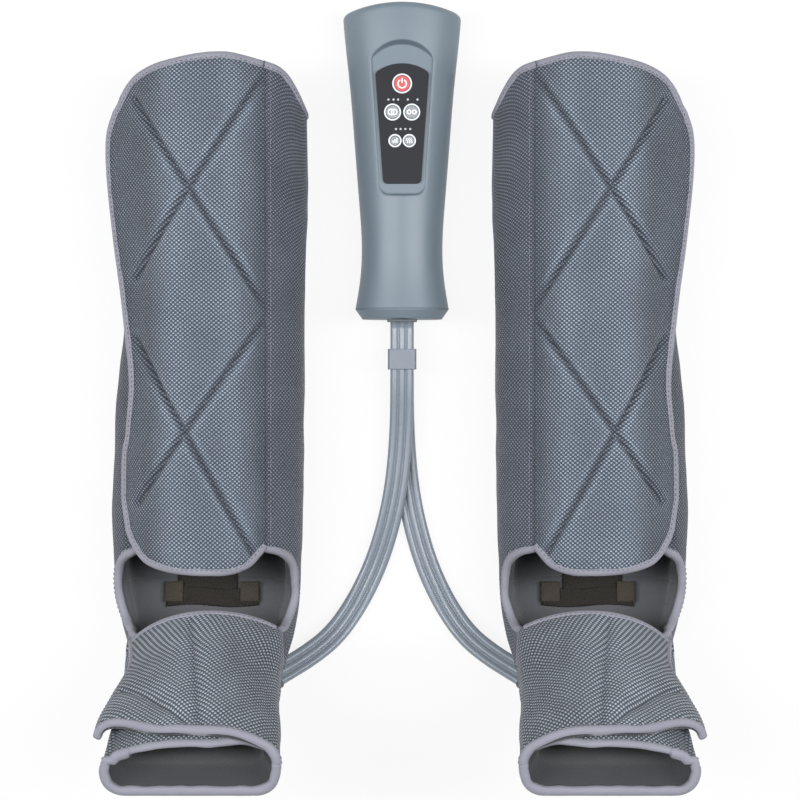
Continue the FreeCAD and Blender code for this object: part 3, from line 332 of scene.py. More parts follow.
# Same knit as the flap mesh in darker colours: painted shade on the side panel and the boot's cover, which
# turn away from the lamps.
SHADED_PANEL_MESH = spacer_mesh("side_panel_mesh_shaded", (0.042, 0.050, 0.068), (0.215, 0.240, 0.292),
                         pitch=0.0032, row=0.0028, rise=0.0009, sheen=0.08)
FOOT_MESH = spacer_mesh("foot_dotted_mesh", (0.040, 0.050, 0.066), (0.430, 0.480, 0.540),
                        pitch=0.0034, row=0.0034, rise=0.0010, sheen=0.10)
TAPE = woven("binding_tape", (0.180, 0.181, 0.222), (0.292, 0.293, 0.348), 0.0009, 0.00018, 0.2)
LINING = woven("brushed_lining", (0.056, 0.059, 0.066), (0.118, 0.122, 0.134), 0.0016, 0.0003, 0.25, 0.85)
FOOT_LINING = woven("foot_lining", (0.026, 0.029, 0.033), (0.064, 0.069, 0.077), 0.0016, 0.0003, 0.2, 0.85)
CLOSURE = woven("hook_and_loop", (0.018, 0.018, 0.022), (0.05, 0.05, 0.056), 0.0013, 0.0005, 0.1, 0.9)
BAND = woven("heel_band_web", (0.006, 0.005, 0.0045), (0.026, 0.021, 0.016), 0.0024, 0.0006, 0.03, 0.7)
FOLD = woven("heel_band_fold", (0.022, 0.019, 0.014), (0.070, 0.061, 0.043), 0.0022, 0.0006, 0.05, 0.7)
SLEEVE = woven("hose_sleeve_cloth", (0.080, 0.088, 0.108), (0.140, 0.150, 0.178), 0.0012, 0.0003, 0.1, 0.75)
THREAD = woven("sewing_thread", (0.030, 0.034, 0.044), (0.060, 0.064, 0.078), 0.0004, 0.0001, 0.1, 0.6)
TAPE_THREAD = woven("tape_thread", (0.060, 0.060, 0.078), (0.105, 0.105, 0.128), 0.0004, 0.0001, 0.1, 0.6)
SHELL = satin("controller_satin", (0.138, 0.178, 0.212), (0.166, 0.208, 0.244), 0.40,
              rounded=0.0022, shine=0.45)
PANEL = satin("panel_satin", (0.014, 0.0145, 0.019), (0.024, 0.025, 0.031), 0.62,
              rounded=0.0006, shine=0.25)
RED = satin("power_face_red", (0.52, 0.070, 0.080), (0.58, 0.10, 0.105), 0.42)
FACE = satin("button_face_grey", (0.245, 0.258, 0.285), (0.30, 0.315, 0.34), 0.42)
RING = satin("button_ring_pale", (0.62, 0.65, 0.68), (0.70, 0.73, 0.75), 0.3, coat=0.3)
MARK = satin("button_mark_white", (0.78, 0.79, 0.80), (0.84, 0.85, 0.85), 0.5, rounded=0.0)
LIGHT = satin("indicator_lens", (0.40, 0.42, 0.44), (0.50, 0.52, 0.54), 0.25, coat=0.4)
VINYL = satin("hose_vinyl", (0.185, 0.220, 0.262), (0.222, 0.256, 0.298), 0.33, coat=0.25)
CLIP = satin("clip_satin", (0.162, 0.188, 0.232), (0.192, 0.218, 0.262), 0.4, rounded=0.001)
RUBBER = satin("grommet_rubber", (0.16, 0.18, 0.20), (0.20, 0.22, 0.24), 0.6)
BLACK = satin("inner_black", (0.02, 0.02, 0.022), (0.035, 0.035, 0.037), 0.5)
BOARD = satin("board_green", (0.015, 0.09, 0.04), (0.03, 0.12, 0.06), 0.4)
STEEL = metal("plated_steel", (0.62, 0.62, 0.63), 0.3)
BRASS = metal("turned_brass", (0.72, 0.55, 0.26), 0.28)


# Making pieces
def add_object(name, data):
    made = bpy.data.objects.new(name, data)
    bpy.context.scene.collection.objects.link(made)
    return made


def tidy_normals(piece):
    work = bmesh.new()
    work.from_mesh(piece.data)
    bmesh.ops.recalc_face_normals(work, faces=work.faces)
    work.to_mesh(piece.data)
    work.free()
    return piece


def new_piece(name, points, faces, finishes, uvs=None, marks=None, side="left", tone_and_painted_light=None):
    """Mesh piece of the left wrap, or its mirror image for the right; points in millimetres."""
    flip = side == "right"
    mesh = bpy.data.meshes.new(name)
    mesh.from_pydata(
        [(-p[0] * MM if flip else p[0] * MM, p[1] * MM, p[2] * MM) for p in points], [],
        [tuple(reversed(face)) if flip else tuple(face) for face in faces])
    for finish in finishes:
        mesh.materials.append(finish)
    if marks:
        mesh.polygons.foreach_set("material_index", marks)
    if uvs:
        layer = mesh.uv_layers.new(name="cloth")
        loops = [0] * len(mesh.loops)
        mesh.loops.foreach_get("vertex_index", loops)
        layer.data.foreach_set("uv", [c * MM for vertex in loops for c in uvs[vertex]])
    if tone_and_painted_light:
        mesh.attributes.new("tone_and_painted_light", "FLOAT", "POINT").data.foreach_set("value", tone_and_painted_light)
    mesh.polygons.foreach_set("use_smooth", [True] * len(mesh.polygons))
    mesh.update()
    return add_object(name, mesh)


def sheet_faces(rows, columns, start, turned=False):
    faces = []
    for j in range(rows - 1):
        for i in range(columns - 1):
            at = start + j * columns + i
            face = (at, at + 1, at + columns + 1, at + columns)
            faces.append(face[::-1] if turned else face)
    return faces


def rim_loop(rows, columns):
    return (list(range(columns)) + [j * columns + columns - 1 for j in range(1, rows)]
            + [(rows - 1) * columns + i for i in range(columns - 2, -1, -1)]
            + [j * columns for j in range(rows - 2, 0, -1)])


def pad_piece(name, outer, inner, uvs, finishes, side, tone_and_painted_light=None):
    """Closed padded sheet between an outer and an inner grid; finishes for the outer and inner faces."""
    rows, columns = len(outer), len(outer[0])
    count = rows * columns
    points = [p for row in outer for p in row] + [p for row in inner for p in row]
    faces = sheet_faces(rows, columns, 0) + sheet_faces(rows, columns, count, turned=True)
    marks = [0] * (len(faces) // 2) + [1] * (len(faces) // 2)
    loop = rim_loop(rows, columns)
    for a, b in zip(loop, loop[1:] + loop[:1]):
        faces.append((a, a + count, b + count, b))
        marks.append(1)
    flat = [uv for row in uvs for uv in row]
    # Painted light and tone for each point, or the even level
    full = [value for row in tone_and_painted_light for value in row] if tone_and_painted_light else [PLAIN_TONE_AND_LIGHT] * count
    return tidy_normals(new_piece(name, points, faces, finishes, flat * 2, marks, side, full * 2))


def tube_piece(name, points, uvs, count, finish, side="left"):
    """Closed tube through rings of a number of points each."""
    faces = []
    for first in range(0, len(points) - count, count):
        for i in range(count):
            a, b = first + i, first + (i + 1) % count
            faces.append((a, b, b + count, a + count))
    faces.append(tuple(range(count)))
    faces.append(tuple(reversed(range(len(points) - count, len(points)))))
    return tidy_normals(new_piece(name, points, faces, [finish], uvs, None, side))


def tape_piece(name, path, outward, normals, width, depth, side, tucked):
    """Folded tape swept along an edge: its fold stands past the edge, its leaves lie on the cloth."""
    leaf = ((-width, 0.1), (-width, 0.75), (-width * 0.6, 1.15), (-width * 0.2, 1.0), (0.55, 0.1),
            (0.8, -depth * 0.5), (0.55, -depth - 0.1), (-width * 0.2, -depth - 1.0),
            (-width, -depth - 0.7), (-width, -depth + 0.1))
    points, uvs = [], []
    distances = runs(path)
    for p, o, n, run in zip(path, outward, normals, distances):
        swell = 1.0 + 0.12 * lumps((run, 0, depth), 9.0, 3.1)
        if tucked:
            swell *= mix(0.45, 1.0, ease(0.0, 3.5, distances[-1] - run))
        for across, (a, b) in enumerate(leaf):
            place = p + o * a * swell + n * b * swell
            place.z = max(place.z, TAPE_FLOOR)
            points.append(place)
            uvs.append((across * 1.1, run))
    return tube_piece(name, points, uvs, len(leaf), TAPE, side)


def stitch_tree():
    """Rows of stitches along paths: one short rounded thread for each step."""
    tree = bpy.data.node_groups.new("stitch_rows", "GeometryNodeTree")
    ask = tree.interface.new_socket
    ask("Paths", in_out="INPUT", socket_type="NodeSocketGeometry")
    inputs = {name: ask(name, in_out="INPUT", socket_type="NodeSocketFloat").identifier
              for name in ("Spacing", "Stitch length", "Thread thickness")}
    inputs["Thread"] = ask("Thread", in_out="INPUT", socket_type="NodeSocketMaterial").identifier
    ask("Stitches", in_out="OUTPUT", socket_type="NodeSocketGeometry")

    def add(kind, settings=None, **links):
        made = tree.nodes.new(kind)
        for key, value in (settings or {}).items():
            setattr(made, key, value)
        for key, source in links.items():
            tree.links.new(source, made.inputs[key.replace("_", " ")])
        return made

    given = tree.nodes.new("NodeGroupInput").outputs
    curve = add("GeometryNodeMeshToCurve", Mesh=given["Paths"])
    even = add("GeometryNodeResampleCurve", {"mode": "LENGTH"}, Curve=curve.outputs[0],
               Length=given["Spacing"])
    ball = add("GeometryNodeMeshIcoSphere")
    ball.inputs["Subdivisions"].default_value = 1
    ball.inputs["Radius"].default_value = 0.5
    heading = add("FunctionNodeAlignRotationToVector", {"axis": "X"},
                  Vector=add("GeometryNodeInputTangent").outputs[0])
    size = add("ShaderNodeCombineXYZ", X=given["Stitch length"], Y=given["Thread thickness"],
               Z=given["Thread thickness"])
    rows = add("GeometryNodeInstanceOnPoints", Points=even.outputs[0], Instance=ball.outputs[0],
               Rotation=heading.outputs[0], Scale=size.outputs[0])
    real = add("GeometryNodeRealizeInstances", Geometry=rows.outputs[0])
    finished = add("GeometryNodeSetMaterial", Geometry=real.outputs[0], Material=given["Thread"])
    tree.links.new(finished.outputs[0], tree.nodes.new("NodeGroupOutput").inputs[0])
    return tree, inputs


STITCH_TREE, STITCH_INPUTS = stitch_tree()


def stitches(name, paths, side, finish, spacing=3.4, length=2.3, thickness=0.55):
    points, edges = [], []
    for path in paths:
        first = len(points)
        points += path
        edges += [(k, k + 1) for k in range(first, len(points) - 1)]
    flip = -MM if side == "right" else MM
    mesh = bpy.data.meshes.new(name)
    mesh.from_pydata([(p.x * flip, p.y * MM, p.z * MM) for p in points], edges, [])
    rows = add_object(name, mesh)
    sewing = rows.modifiers.new("stitch_rows", "NODES")
    sewing.node_group = STITCH_TREE
    for key, value in (("Spacing", spacing * MM), ("Stitch length", length * MM),
                       ("Thread thickness", thickness * MM), ("Thread", finish)):
        sewing[STITCH_INPUTS[key]] = value
    graph = bpy.context.evaluated_depsgraph_get()
    sewn = bpy.data.meshes.new_from_object(rows.evaluated_get(graph), depsgraph=graph)
    rows.modifiers.remove(sewing)
    rows.data = sewn
    layer = sewn.uv_layers.get("cloth") or sewn.uv_layers.new(name="cloth")
    for loop in sewn.loops:
        point = sewn.vertices[loop.vertex_index].co
        layer.data[loop.index].uv = (point.x, point.y + point.z)
    sewn.polygons.foreach_set("use_smooth", [True] * len(sewn.polygons))
    return rows


# Form of a wrap
def calf_size(share):
    outer = CALF_HALF_WIDTH * along_table(OUTER_SHARES, share)
    return outer, CALF_HALF_WIDTH * mix(0.95, 1.015, share), CALF_DEPTH * mix(0.97, 1.04, share), ROUND, ROUND


def foot_size(along):
    """Half widths, depth and upper corner shares; the sides stand squarer beside the ankle opening."""
    share = along / FOOT_LENGTH
    half = mix(*FOOT_HALF_WIDTHS, share)
    wide = 3.0 * (1 - ease(0.0, 60.0, along))
    outer = mix(0.2, 0.33, ease(10.0, 50.0, along)), mix(0.62, 0.5, ease(10.0, 50.0, along))
    inner = mix(0.14, 0.33, ease(20.0, 80.0, along)), mix(0.72, 0.5, ease(20.0, 80.0, along))
    return half + wide, half + wide * 1.6, mix(*FOOT_DEPTHS, share), outer, inner


def heel_size(share):
    calf, foot = calf_size(0.0), foot_size(0.0)
    turn = mix(share, ease(0.0, 1.0, share), 0.7)
    square = ease(0.0, 0.7, share)
    shapes = [(mix(0.33, corner, square), mix(0.5, side, square)) for corner, side in foot[3:]]
    return mix(calf[0], foot[0], turn), mix(calf[1], foot[1], turn), mix(calf[2], foot[2], share), *shapes


def calf_place(x, y, z):
    return Vector((x - WRAP_CENTRE, ANKLE_Y + y, z))


def heel_place(x, turn, z):
    reach = ANKLE_HEIGHT - z
    return Vector((x - WRAP_CENTRE, ANKLE_Y - reach * math.sin(turn), ANKLE_HEIGHT - reach * math.cos(turn)))


def foot_place(x, along, z):
    return heel_place(x, HEEL_TURN, z) + Vector((0, -math.sin(LEAN), math.cos(LEAN))) * along


def section_parts(half, depth, shape=ROUND):
    low, high, side = 0.37 * depth, shape[0] * depth, shape[1] * depth
    rise = depth - side
    crown = ((half - high) ** 2 + rise ** 2 - high ** 2) / (2 * (rise - high))
    return low, high, side, crown, math.atan2(side - depth + crown, half - high)


def half_outline(half, depth, shape):
    low, high, side, crown, lean = section_parts(half, depth, shape)
    run = [(crown * math.cos(a), depth - crown + crown * math.sin(a)) for a in spread(math.pi / 2, lean, 30)]
    run += [(half - high + high * math.cos(a), side + high * math.sin(a)) for a in spread(lean, 0, 16)[1:]]
    run += [(half, z) for z in spread(side, low, 6)[1:]]
    run += [(half - low + low * math.cos(a), low + low * math.sin(a))
            for a in spread(0, -math.pi / 2, 18)[1:]]
    return run + [(x, 0.0) for x in spread(half - low, 0, 10)[1:]]


def outline(size, over=False):
    """Section's points from the crown round the back, or from the back over the crown, inner side first."""
    inner = half_outline(size[1], size[2], size[4])
    outer = [(-x, z) for x, z in half_outline(size[0], size[2], size[3])]
    if over:
        return inner[::-1] + outer[1:]
    return inner + outer[::-1][1:]


def strip(path, first, last, count, inward):
    """Even points along part of an outline: across, height, inward direction and distance run."""
    lengths = [0.0]
    for a, b in zip(path, path[1:]):
        lengths.append(lengths[-1] + math.hypot(b[0] - a[0], b[1] - a[1]))

    def reach(measure, order):
        for a, b in zip(order, order[1:]):
            before, after = measure(*path[a]), measure(*path[b])
            if before < 0 <= after:
                return mix(lengths[a], lengths[b], before / (before - after))
        return lengths[order[0]]

    numbers = list(range(len(path)))
    start, end = reach(first, numbers), reach(last, numbers[::-1])
    found, at = [], 0
    for run in spread(start, end, count - 1):
        while at < len(path) - 2 and lengths[at + 1] < run:
            at += 1
        a, b = path[at], path[at + 1]
        step = lengths[at + 1] - lengths[at]
        share = (run - lengths[at]) / step
        tx, tz = (b[0] - a[0]) / step, (b[1] - a[1]) / step
        found.append((mix(a[0], b[0], share), mix(a[1], b[1], share), tz * inward, -tx * inward, run))
    return found


def flap_free_x(y):
    share = min(max(y / CALF_LENGTH, FLAP_SPAN[0]), FLAP_SPAN[1])
    return along_table(FLAP_LEFT, share) * calf_size(share)[0]


def top_share(x):
    return along_table(TOP_SHARES, x / CALF_HALF_WIDTH)


def opening_level(along):
    """Height of the ankle opening's edge over the calf's lower end."""
    if along >= OPENING_REACH:
        return ABOVE_ALL
    return ANKLE_HEIGHT - OPENING_RADIUS * math.sqrt(1 - (along / OPENING_REACH) ** 2)


def heel_level(share):
    return ANKLE_HEIGHT - OPENING_RADIUS - 6.0 * math.sin(math.pi * share)


def boot_rows():
    """Rows of the boot from the knee to the toes: placing, size, start and end of the cloth, and run."""
    rows = []
    for y in spread(CALF_LENGTH, 32.0, 68) + spread(31.0, 0.0, 24):
        share = y / CALF_LENGTH
        level = opening_level(y)

        def place(x, z, share=share):
            drop = ease(0.45, 1.0, share) * (1 - top_share(x))
            return calf_place(x, share * CALF_LENGTH * (1 - drop), z)

        rows.append((place, calf_size(share),
                     lambda x, z, level=level: min(x - SEAM_X, level - z),
                     lambda x, z, level=level: min(-x - UNDERLAP_ROOT_X, level - z), ("calf", y)))
    for share in spread(0.0, 1.0, 18)[1:]:
        rows.append((lambda x, z, share=share: heel_place(x, HEEL_TURN * share, z), heel_size(share),
                     lambda x, z, level=heel_level(share): level - z,
                     lambda x, z, level=heel_level(share): level - z, ("heel", share)))
    for along in spread(0.0, FOOT_LENGTH, 42)[1:]:
        size = foot_size(along)
        inner_level = 60.0 + along * 0.3 if along < FLAP_INNER_START else 0.5 * size[2]
        if along < FLAP_OUTER_START:
            outer_end = (lambda x, z, level=60.0 + along * 0.12: level - z)
        else:
            outer_end = (lambda x, z, root=0.67 * size[0]: -x - root)
        rows.append((lambda x, z, along=along: foot_place(x, along, z), size,
                     lambda x, z, level=inner_level: level - z, outer_end, ("foot", along)))
    return rows


def boot_sink(kind, along, x, z, depth):
    """How far the cover lies below the full form: under the flaps, at the seam and in soft creases."""
    if kind == "calf":
        if x < 0:
            past = x - flap_free_x(along)
            knee = ease(0.6, 0.82, along / CALF_LENGTH)
            under = 2.8 * ease(-16.0, -3.0, past) + 5.6 * ease(-1.5, 6.0, past)
            under = mix(under, 10.6 * ease(-22.0, 14.0, past), knee)
            return under * ease(0.0, 45.0, along) * ease(0.34, 0.62, z / depth)
        if x > 0 and z > 0.6 * depth:
            return 1.3 * bell(x, SEAM_X + 1.0, 2.2)
    if kind == "foot" and x < 0:
        past = z - flap_outer_level(along)
        return (2.0 * ease(-10.0, -2.0, past) + 4.6 * ease(-1.0, 3.0, past)) * ease(19.0, 27.0, along)
    return 0.0


def flap_outer_level(along):
    return mix(0.71, 0.60, ease(31.0, 110.0, along)) * foot_size(along)[2]


def run_along(kind, along):
    if kind == "calf":
        return along
    if kind == "heel":
        return -along * HEEL_TURN * HEEL_RUN_RADIUS
    return -HEEL_TURN * HEEL_RUN_RADIUS - along


def boot_grids():
    outer, inner, uvs, tags = [], [], [], []
    for place, size, first, last, (kind, along) in boot_rows():
        points = strip(outline(size), first, last, BOOT_POINTS, 1.0)
        hem = 1.0
        if kind == "foot":
            hem = ease(0.0, 26.0, FOOT_LENGTH - along)
        elif kind == "calf":
            hem = ease(0.0, 24.0, CALF_LENGTH - along)
        spots = []
        for x, z, nx, nz, run in points:
            edge = min(run - points[0][4], points[-1][4] - run)
            here = place(x, z)
            soft = lumps(here, 46.0) * 1.5 + lumps(here, 19.0, 5.0) * 0.5
            soft *= ease(2.0, 14.0, z) * ease(0.0, 12.0, edge)
            out = boot_sink(kind, along, x, z, size[2]) - soft
            deep = max(out + 3.0, mix(3.2, WALL, ease(0.0, 9.0, edge) * mix(0.08, 1.0, hem)))
            spots.append((place(x + nx * out, z + nz * out), place(x + nx * deep, z + nz * deep),
                          (run, run_along(kind, along))))
        for grid, row in zip((outer, inner, uvs), zip(*spots)):
            grid.append(list(row))
        tags.append((kind, along))
    return outer, inner, uvs, tags


def edge_frames(path, beside, inner):
    """Outward and normal directions along an edge, from the next points into the cloth and the inner side."""
    outward, normals = [], []
    for k, point in enumerate(path):
        run = (path[min(k + 1, len(path) - 1)] - path[max(k - 1, 0)]).normalized()
        out = (point - beside[k]).normalized()
        out = (out - run * out.dot(run)).normalized()
        normal = point - inner[k]
        normal = (normal - run * normal.dot(run) - out * normal.dot(out)).normalized()
        outward.append(out)
        normals.append(normal)

    def even(directions):
        near = [directions[max(k - 3, 0):k + 4] for k in range(len(directions))]
        return [sum(some, Vector((0, 0, 0))).normalized() for some in near]

    return even(outward), even(normals)


def inset_path(path, outward, normals, inset, rise):
    line = [p - o * inset + n * rise for p, o, n in zip(path, outward, normals)]
    return [Vector((p.x, p.y, max(p.z, STITCH_FLOOR))) for p in line]


def on_skin(x, y, rise):
    """Point over the calf's front: across and along in plan, raised off the full form along its normal."""
    share = y / CALF_LENGTH
    outer, inner, depth = calf_size(share)[:3]
    half = inner if x > 0 else outer
    _, high, side, crown, lean = section_parts(half, depth)
    if abs(x) <= crown * math.cos(lean):
        cx, cz, radius = 0.0, depth - crown, crown
    else:
        cx, cz, radius = math.copysign(half - high, x), side, high
    away = min(max((x - cx) / radius, -1.0), 1.0)
    return calf_place(cx + (radius + rise) * away, y, cz + (radius + rise) * math.sqrt(1 - away * away))


def flap_plan(u, v):
    y = mix(*FLAP_SPAN, v) * CALF_LENGTH
    for _ in range(3):
        x = mix(SEAM_X, flap_free_x(y), u)
        share = x / CALF_HALF_WIDTH
        y = mix(along_table(FLAP_BOTTOM, share), along_table(FLAP_TOP, share), v) * CALF_LENGTH
    return x, y


def quilt_distance(x, y):
    return min(segment_distance(x, y, line) for line in QUILT_LINES)


def flap_rim_distance(x, y):
    share = x / CALF_HALF_WIDTH
    low, high = along_table(FLAP_BOTTOM, share), along_table(FLAP_TOP, share)
    return max(0.0, min((SEAM_X - x) * 0.9, x - flap_free_x(y),
                        y - low * CALF_LENGTH, high * CALF_LENGTH - y))


def flap_bulge(x):
    """Two soft columns of padding down the flap and a hollow between them."""
    bulge = 3.0 * bell(x, -19.0, 11.0) + 3.4 * bell(x, 20.0, 10.0) - 1.2 * bell(x, 1.0, 7.0)
    return bulge - 1.6 * ease(28.0, 42.0, x) - 1.2 * ease(-34.0, -52.0, x)


def flap_flare(x, y):
    """The free edge stands a little off the leg where the form is steep."""
    share = y / CALF_LENGTH
    off = min(max(x - flap_free_x(y), 0.0) / 10.0, 1.0)
    return 3.2 * (1 - off) ** 2 * ease(0.3, 0.55, share) * ease(0.95, 0.84, share)


def flap_rise(x, y, swell):
    """Height of the quilted face off the full form: padding, swelling, sewn channels and puckers."""
    edge, sewn = flap_rim_distance(x, y), quilt_distance(x, y)
    rim = 1 - (1 - min(edge / 16.0, 1.0)) ** 2
    pillow = 1 - (1 - min(sewn / 10.0, 1.0)) ** 2.4
    channel = 1.9 * bell(sewn, 0.0, 1.6) * ease(2.0, 9.0, edge)
    pucker = 0.4 * math.exp(-sewn / 5.0) * lumps((x, y, 0.0), 4.0, 2.0)
    slack = lumps((x, y, 0.0), 30.0, 7.0) * 0.7 + lumps((x, y * 0.5, 0.0), 11.0, 4.0) * 0.25
    full = (pillow * 3.2 - 3.2 + (flap_bulge(x) + slack) * (0.4 + 0.6 * pillow)) * rim
    return full + swell + pucker - channel - 0.5 * (1 - rim) + flap_flare(x, y)


def flap_tone_and_painted_light(x, y):
    """Painted light and shade on the flap's mesh: lighter over the middle and the two columns, painted
    highlights beside the sewn lines, painted shade in the sewn lines and towards the edges, with random tone.
    """
    sewn, edge = quilt_distance(x, y), flap_rim_distance(x, y)
    # Lighter over the middle of the flap and its two columns: painted light.
    painted_lit_middle = ease(-42.0, -22.0, x) * ease(41.0, 29.0, x)
    band = 0.22 + 0.44 * painted_lit_middle + 0.16 * bell(x, -18.0, 9.0) + 0.18 * bell(x, 20.0, 8.0)
    # Painted shade in the sewn lines.
    band *= 1 - 0.7 * bell(sewn, 0.0, 2.4)
    # Painted highlight beside each sewn line, and random tone.
    band += 0.26 * bell(sewn, 4.6, 1.7) * (0.5 + painted_lit_middle) + 0.14 * lumps((x, y * 0.6, 0.0), 21.0, 5.0)
    # Painted shade towards the flap's edges.
    return min(max(band, 0.0), 1.0) * mix(0.7, 1.0, ease(0.0, 8.0, edge))


def swelling(name, grid, held, cap):
    """Cloth simulation of a padded face held at its sewn points; gives each point's movement off it."""
    rows, columns = len(grid), len(grid[0])
    flat = [p * MM for row in grid for p in row]
    mesh = bpy.data.meshes.new(name)
    mesh.from_pydata(flat, [], sheet_faces(rows, columns, 0))
    mesh.update()
    if mesh.vertices[len(flat) // 2].normal.z < 0:
        mesh.flip_normals()
    normals = [vertex.normal.copy() for vertex in mesh.vertices]
    pad = add_object(name, mesh)
    sewn = pad.vertex_groups.new(name="sewn")
    for number, weight in enumerate(w for row in held for w in row):
        sewn.add([number], weight, "REPLACE")
    cloth = pad.modifiers.new("swelling", "CLOTH")
    for key, value in CLOTH_SETTINGS.items():
        setattr(cloth.settings, key, value)
    cloth.settings.effector_weights.gravity = 0.0
    cloth.point_cache.frame_start = 1
    cloth.point_cache.frame_end = SWELL_FRAMES
    for frame_number in range(1, SWELL_FRAMES + 1):
        bpy.context.scene.frame_set(frame_number)
    graph = bpy.context.evaluated_depsgraph_get()
    swollen = bpy.data.meshes.new_from_object(pad.evaluated_get(graph), depsgraph=graph)
    moved = [min(max((vertex.co - old).dot(normal) / MM, -cap), cap)
             for vertex, old, normal in zip(swollen.vertices, flat, normals)]
    bpy.data.objects.remove(pad)
    bpy.data.meshes.remove(swollen)
    bpy.context.scene.frame_set(1)
    return [moved[j * columns:(j + 1) * columns] for j in range(rows)]


def sampled(table, u, v):
    """Smooth value of a grid of values at shares across and along."""
    x, y = u * (len(table[0]) - 1), v * (len(table) - 1)
    i, j = min(int(x), len(table[0]) - 2), min(int(y), len(table) - 2)
    low = mix(table[j][i], table[j][i + 1], x - i)
    return mix(low, mix(table[j + 1][i], table[j + 1][i + 1], x - i), y - j)


def held_share(reach):
    """Sewn points are held fast, and points further off than a few millimetres hardly at all."""
    return 1.0 - 0.97 * ease(0.8, 3.4, reach)


def flap_swelling():
    def spot(u, v):
        x, y = flap_plan(u, v)
        reach = min(quilt_distance(x, y), flap_rim_distance(x, y) * 0.5)
        return on_skin(x, y, flap_bulge(x) * 0.3), held_share(reach)

    return swelling("calf_flap_swelling", *gather(*FLAP_CLOTH_GRID, spot), FLAP_SWELL_CAP)


def calf_flap_grids():
    swell = flap_swelling()

    def spot(u, v):
        x, y = flap_plan(u, v)
        hem = 1.4 * (1 - ease(0.0, 10.0, flap_rim_distance(x, y)))
        return (on_skin(x, y, flap_rise(x, y, sampled(swell, u, v))),
                on_skin(x, y, -FLAP_THICKNESS + hem + flap_flare(x, y)),
                on_skin(x, y, 0.0), y, flap_tone_and_painted_light(x, y))

    outer, inner, skin, lengths, tone_and_painted_light = gather(*FLAP_GRID, spot)
    uvs = [list(zip(runs(line), along)) for line, along in zip(skin, lengths)]
    return outer, inner, uvs, tone_and_painted_light


FOOT_STRIPS = {}


def foot_strip(along):
    """Points over the instep at one place along the foot, from the sewn inner side to the free outer edge."""
    key = round(along, 4)
    if key not in FOOT_STRIPS:
        size = foot_size(along)
        level = flap_outer_level(along)
        FOOT_STRIPS[key] = strip(outline(size, over=True), lambda x, z: z - 0.5 * size[2],
                                 lambda x, z: z - level, FOOT_STRIP_STEPS + 1, -1.0)
    return FOOT_STRIPS[key]


def foot_flap_along(side, share):
    first = mix(FLAP_INNER_START, FLAP_OUTER_START, ease(0.05, 0.75, side))
    last = mix(FOOT_LENGTH, 135.5, ease(0.02, 0.3, side)) - 17.5 * ease(0.62, 1.0, side)
    return mix(first, last, share)


def foot_flap_spot(side, share, rise):
    """Point over the instep flap, raised off the full form; the outer corner stands out as a loose tip."""
    along = foot_flap_along(side, share)
    strip_at = foot_strip(along)
    at = side * FOOT_STRIP_STEPS
    i = min(int(at), FOOT_STRIP_STEPS - 1)
    x, z, nx, nz, run = (mix(a, b, at - i) for a, b in zip(strip_at[i], strip_at[i + 1]))
    proud = ease(0.6, 1.0, side) * ease(45.0, 112.0, along)
    lift = rise + 3.4 * proud
    place = foot_place(x - nx * lift - 4.2 * proud * ease(0.72, 1.0, side), along, z - nz * lift)
    return place, x, along, run


def foot_crease_distance(x, along):
    return min(segment_distance(x, along, line) for line in FOOT_CREASES)


def foot_rim_distance(side, share):
    return min(share * 100.0, (1 - share) * 100.0, (1 - side) * 130.0)


def foot_swelling():
    def spot(side, share):
        place, x, along, _ = foot_flap_spot(side, share, 0.0)
        reach = min(foot_crease_distance(x, along), foot_rim_distance(side, share) * 0.6, side * 100.0)
        return place, held_share(reach)

    return swelling("foot_flap_swelling", *gather(*FOOT_CLOTH_GRID, spot), FOOT_SWELL_CAP)


def foot_flap_grids():
    swell = foot_swelling()

    def spot(side, share):
        _, x, along, run = foot_flap_spot(side, share, 0.0)
        crease, rim = foot_crease_distance(x, along), foot_rim_distance(side, share)
        fan = math.cos((x / 50.0 * 2.6 + 0.5) * math.pi + lumps((x, along, 0), 40.0) * 1.3)
        rise = (1 - math.exp(-crease / 5.0)) * 2.2 - 1.2 - 0.7 * bell(crease, 0.0, 1.6)
        rise += fan * 0.7 * ease(31.0, 90.0, along) + lumps((x, along, 3.0), 17.0, 2.0) * 0.8
        rise *= 1 - (1 - min(rim / 12.0, 1.0)) ** 2
        # Last value is painted light and shade: lighter over the middle of the instep, painted shade in the
        # creases, with random tone.
        painted_light_middle = 0.34 + 0.3 * bell(x, -8.0, 26.0) + 0.15 * lumps((x, along, 0.0), 15.0, 8.0)
        return (foot_flap_spot(side, share, rise + sampled(swell, side, share))[0],
                foot_flap_spot(side, share, -3.8 - 1.4 * ease(0.0, 10.0, rim))[0], (run, along),
                min(max(painted_light_middle * (1 - 0.5 * bell(crease, 0.0, 2.0)), 0.0), 1.0))

    return gather(*FOOT_GRID, spot)


def lap_piece(name, finishes, side, grid, spot, thickness):
    """Plain soft lap: a spot function gives the skin point, the inner point and the place on the cloth."""
    return pad_piece(name, *lap_grids(*grid, spot, thickness), finishes, side)


def lap_grids(columns, rows, spot, thickness):
    def full_spot(u, v):
        rim = min(u, 1 - u, v * 3, (1 - v) * 3) * 2
        return spot(u, v, ease(0.0, 0.3, rim) * thickness)

    return gather(columns, rows, full_spot)


def calf_lap_spot(start, end, low, high, level):
    def spot(u, v, full):
        x, y = mix(start, end, u), mix(low, high, v)
        soft = lumps((x, y, 1.0), 24.0, 9.0) * 0.3
        return on_skin(x, y, -level + soft), on_skin(x, y, -level - 0.4 - full), (x, y)
    return spot


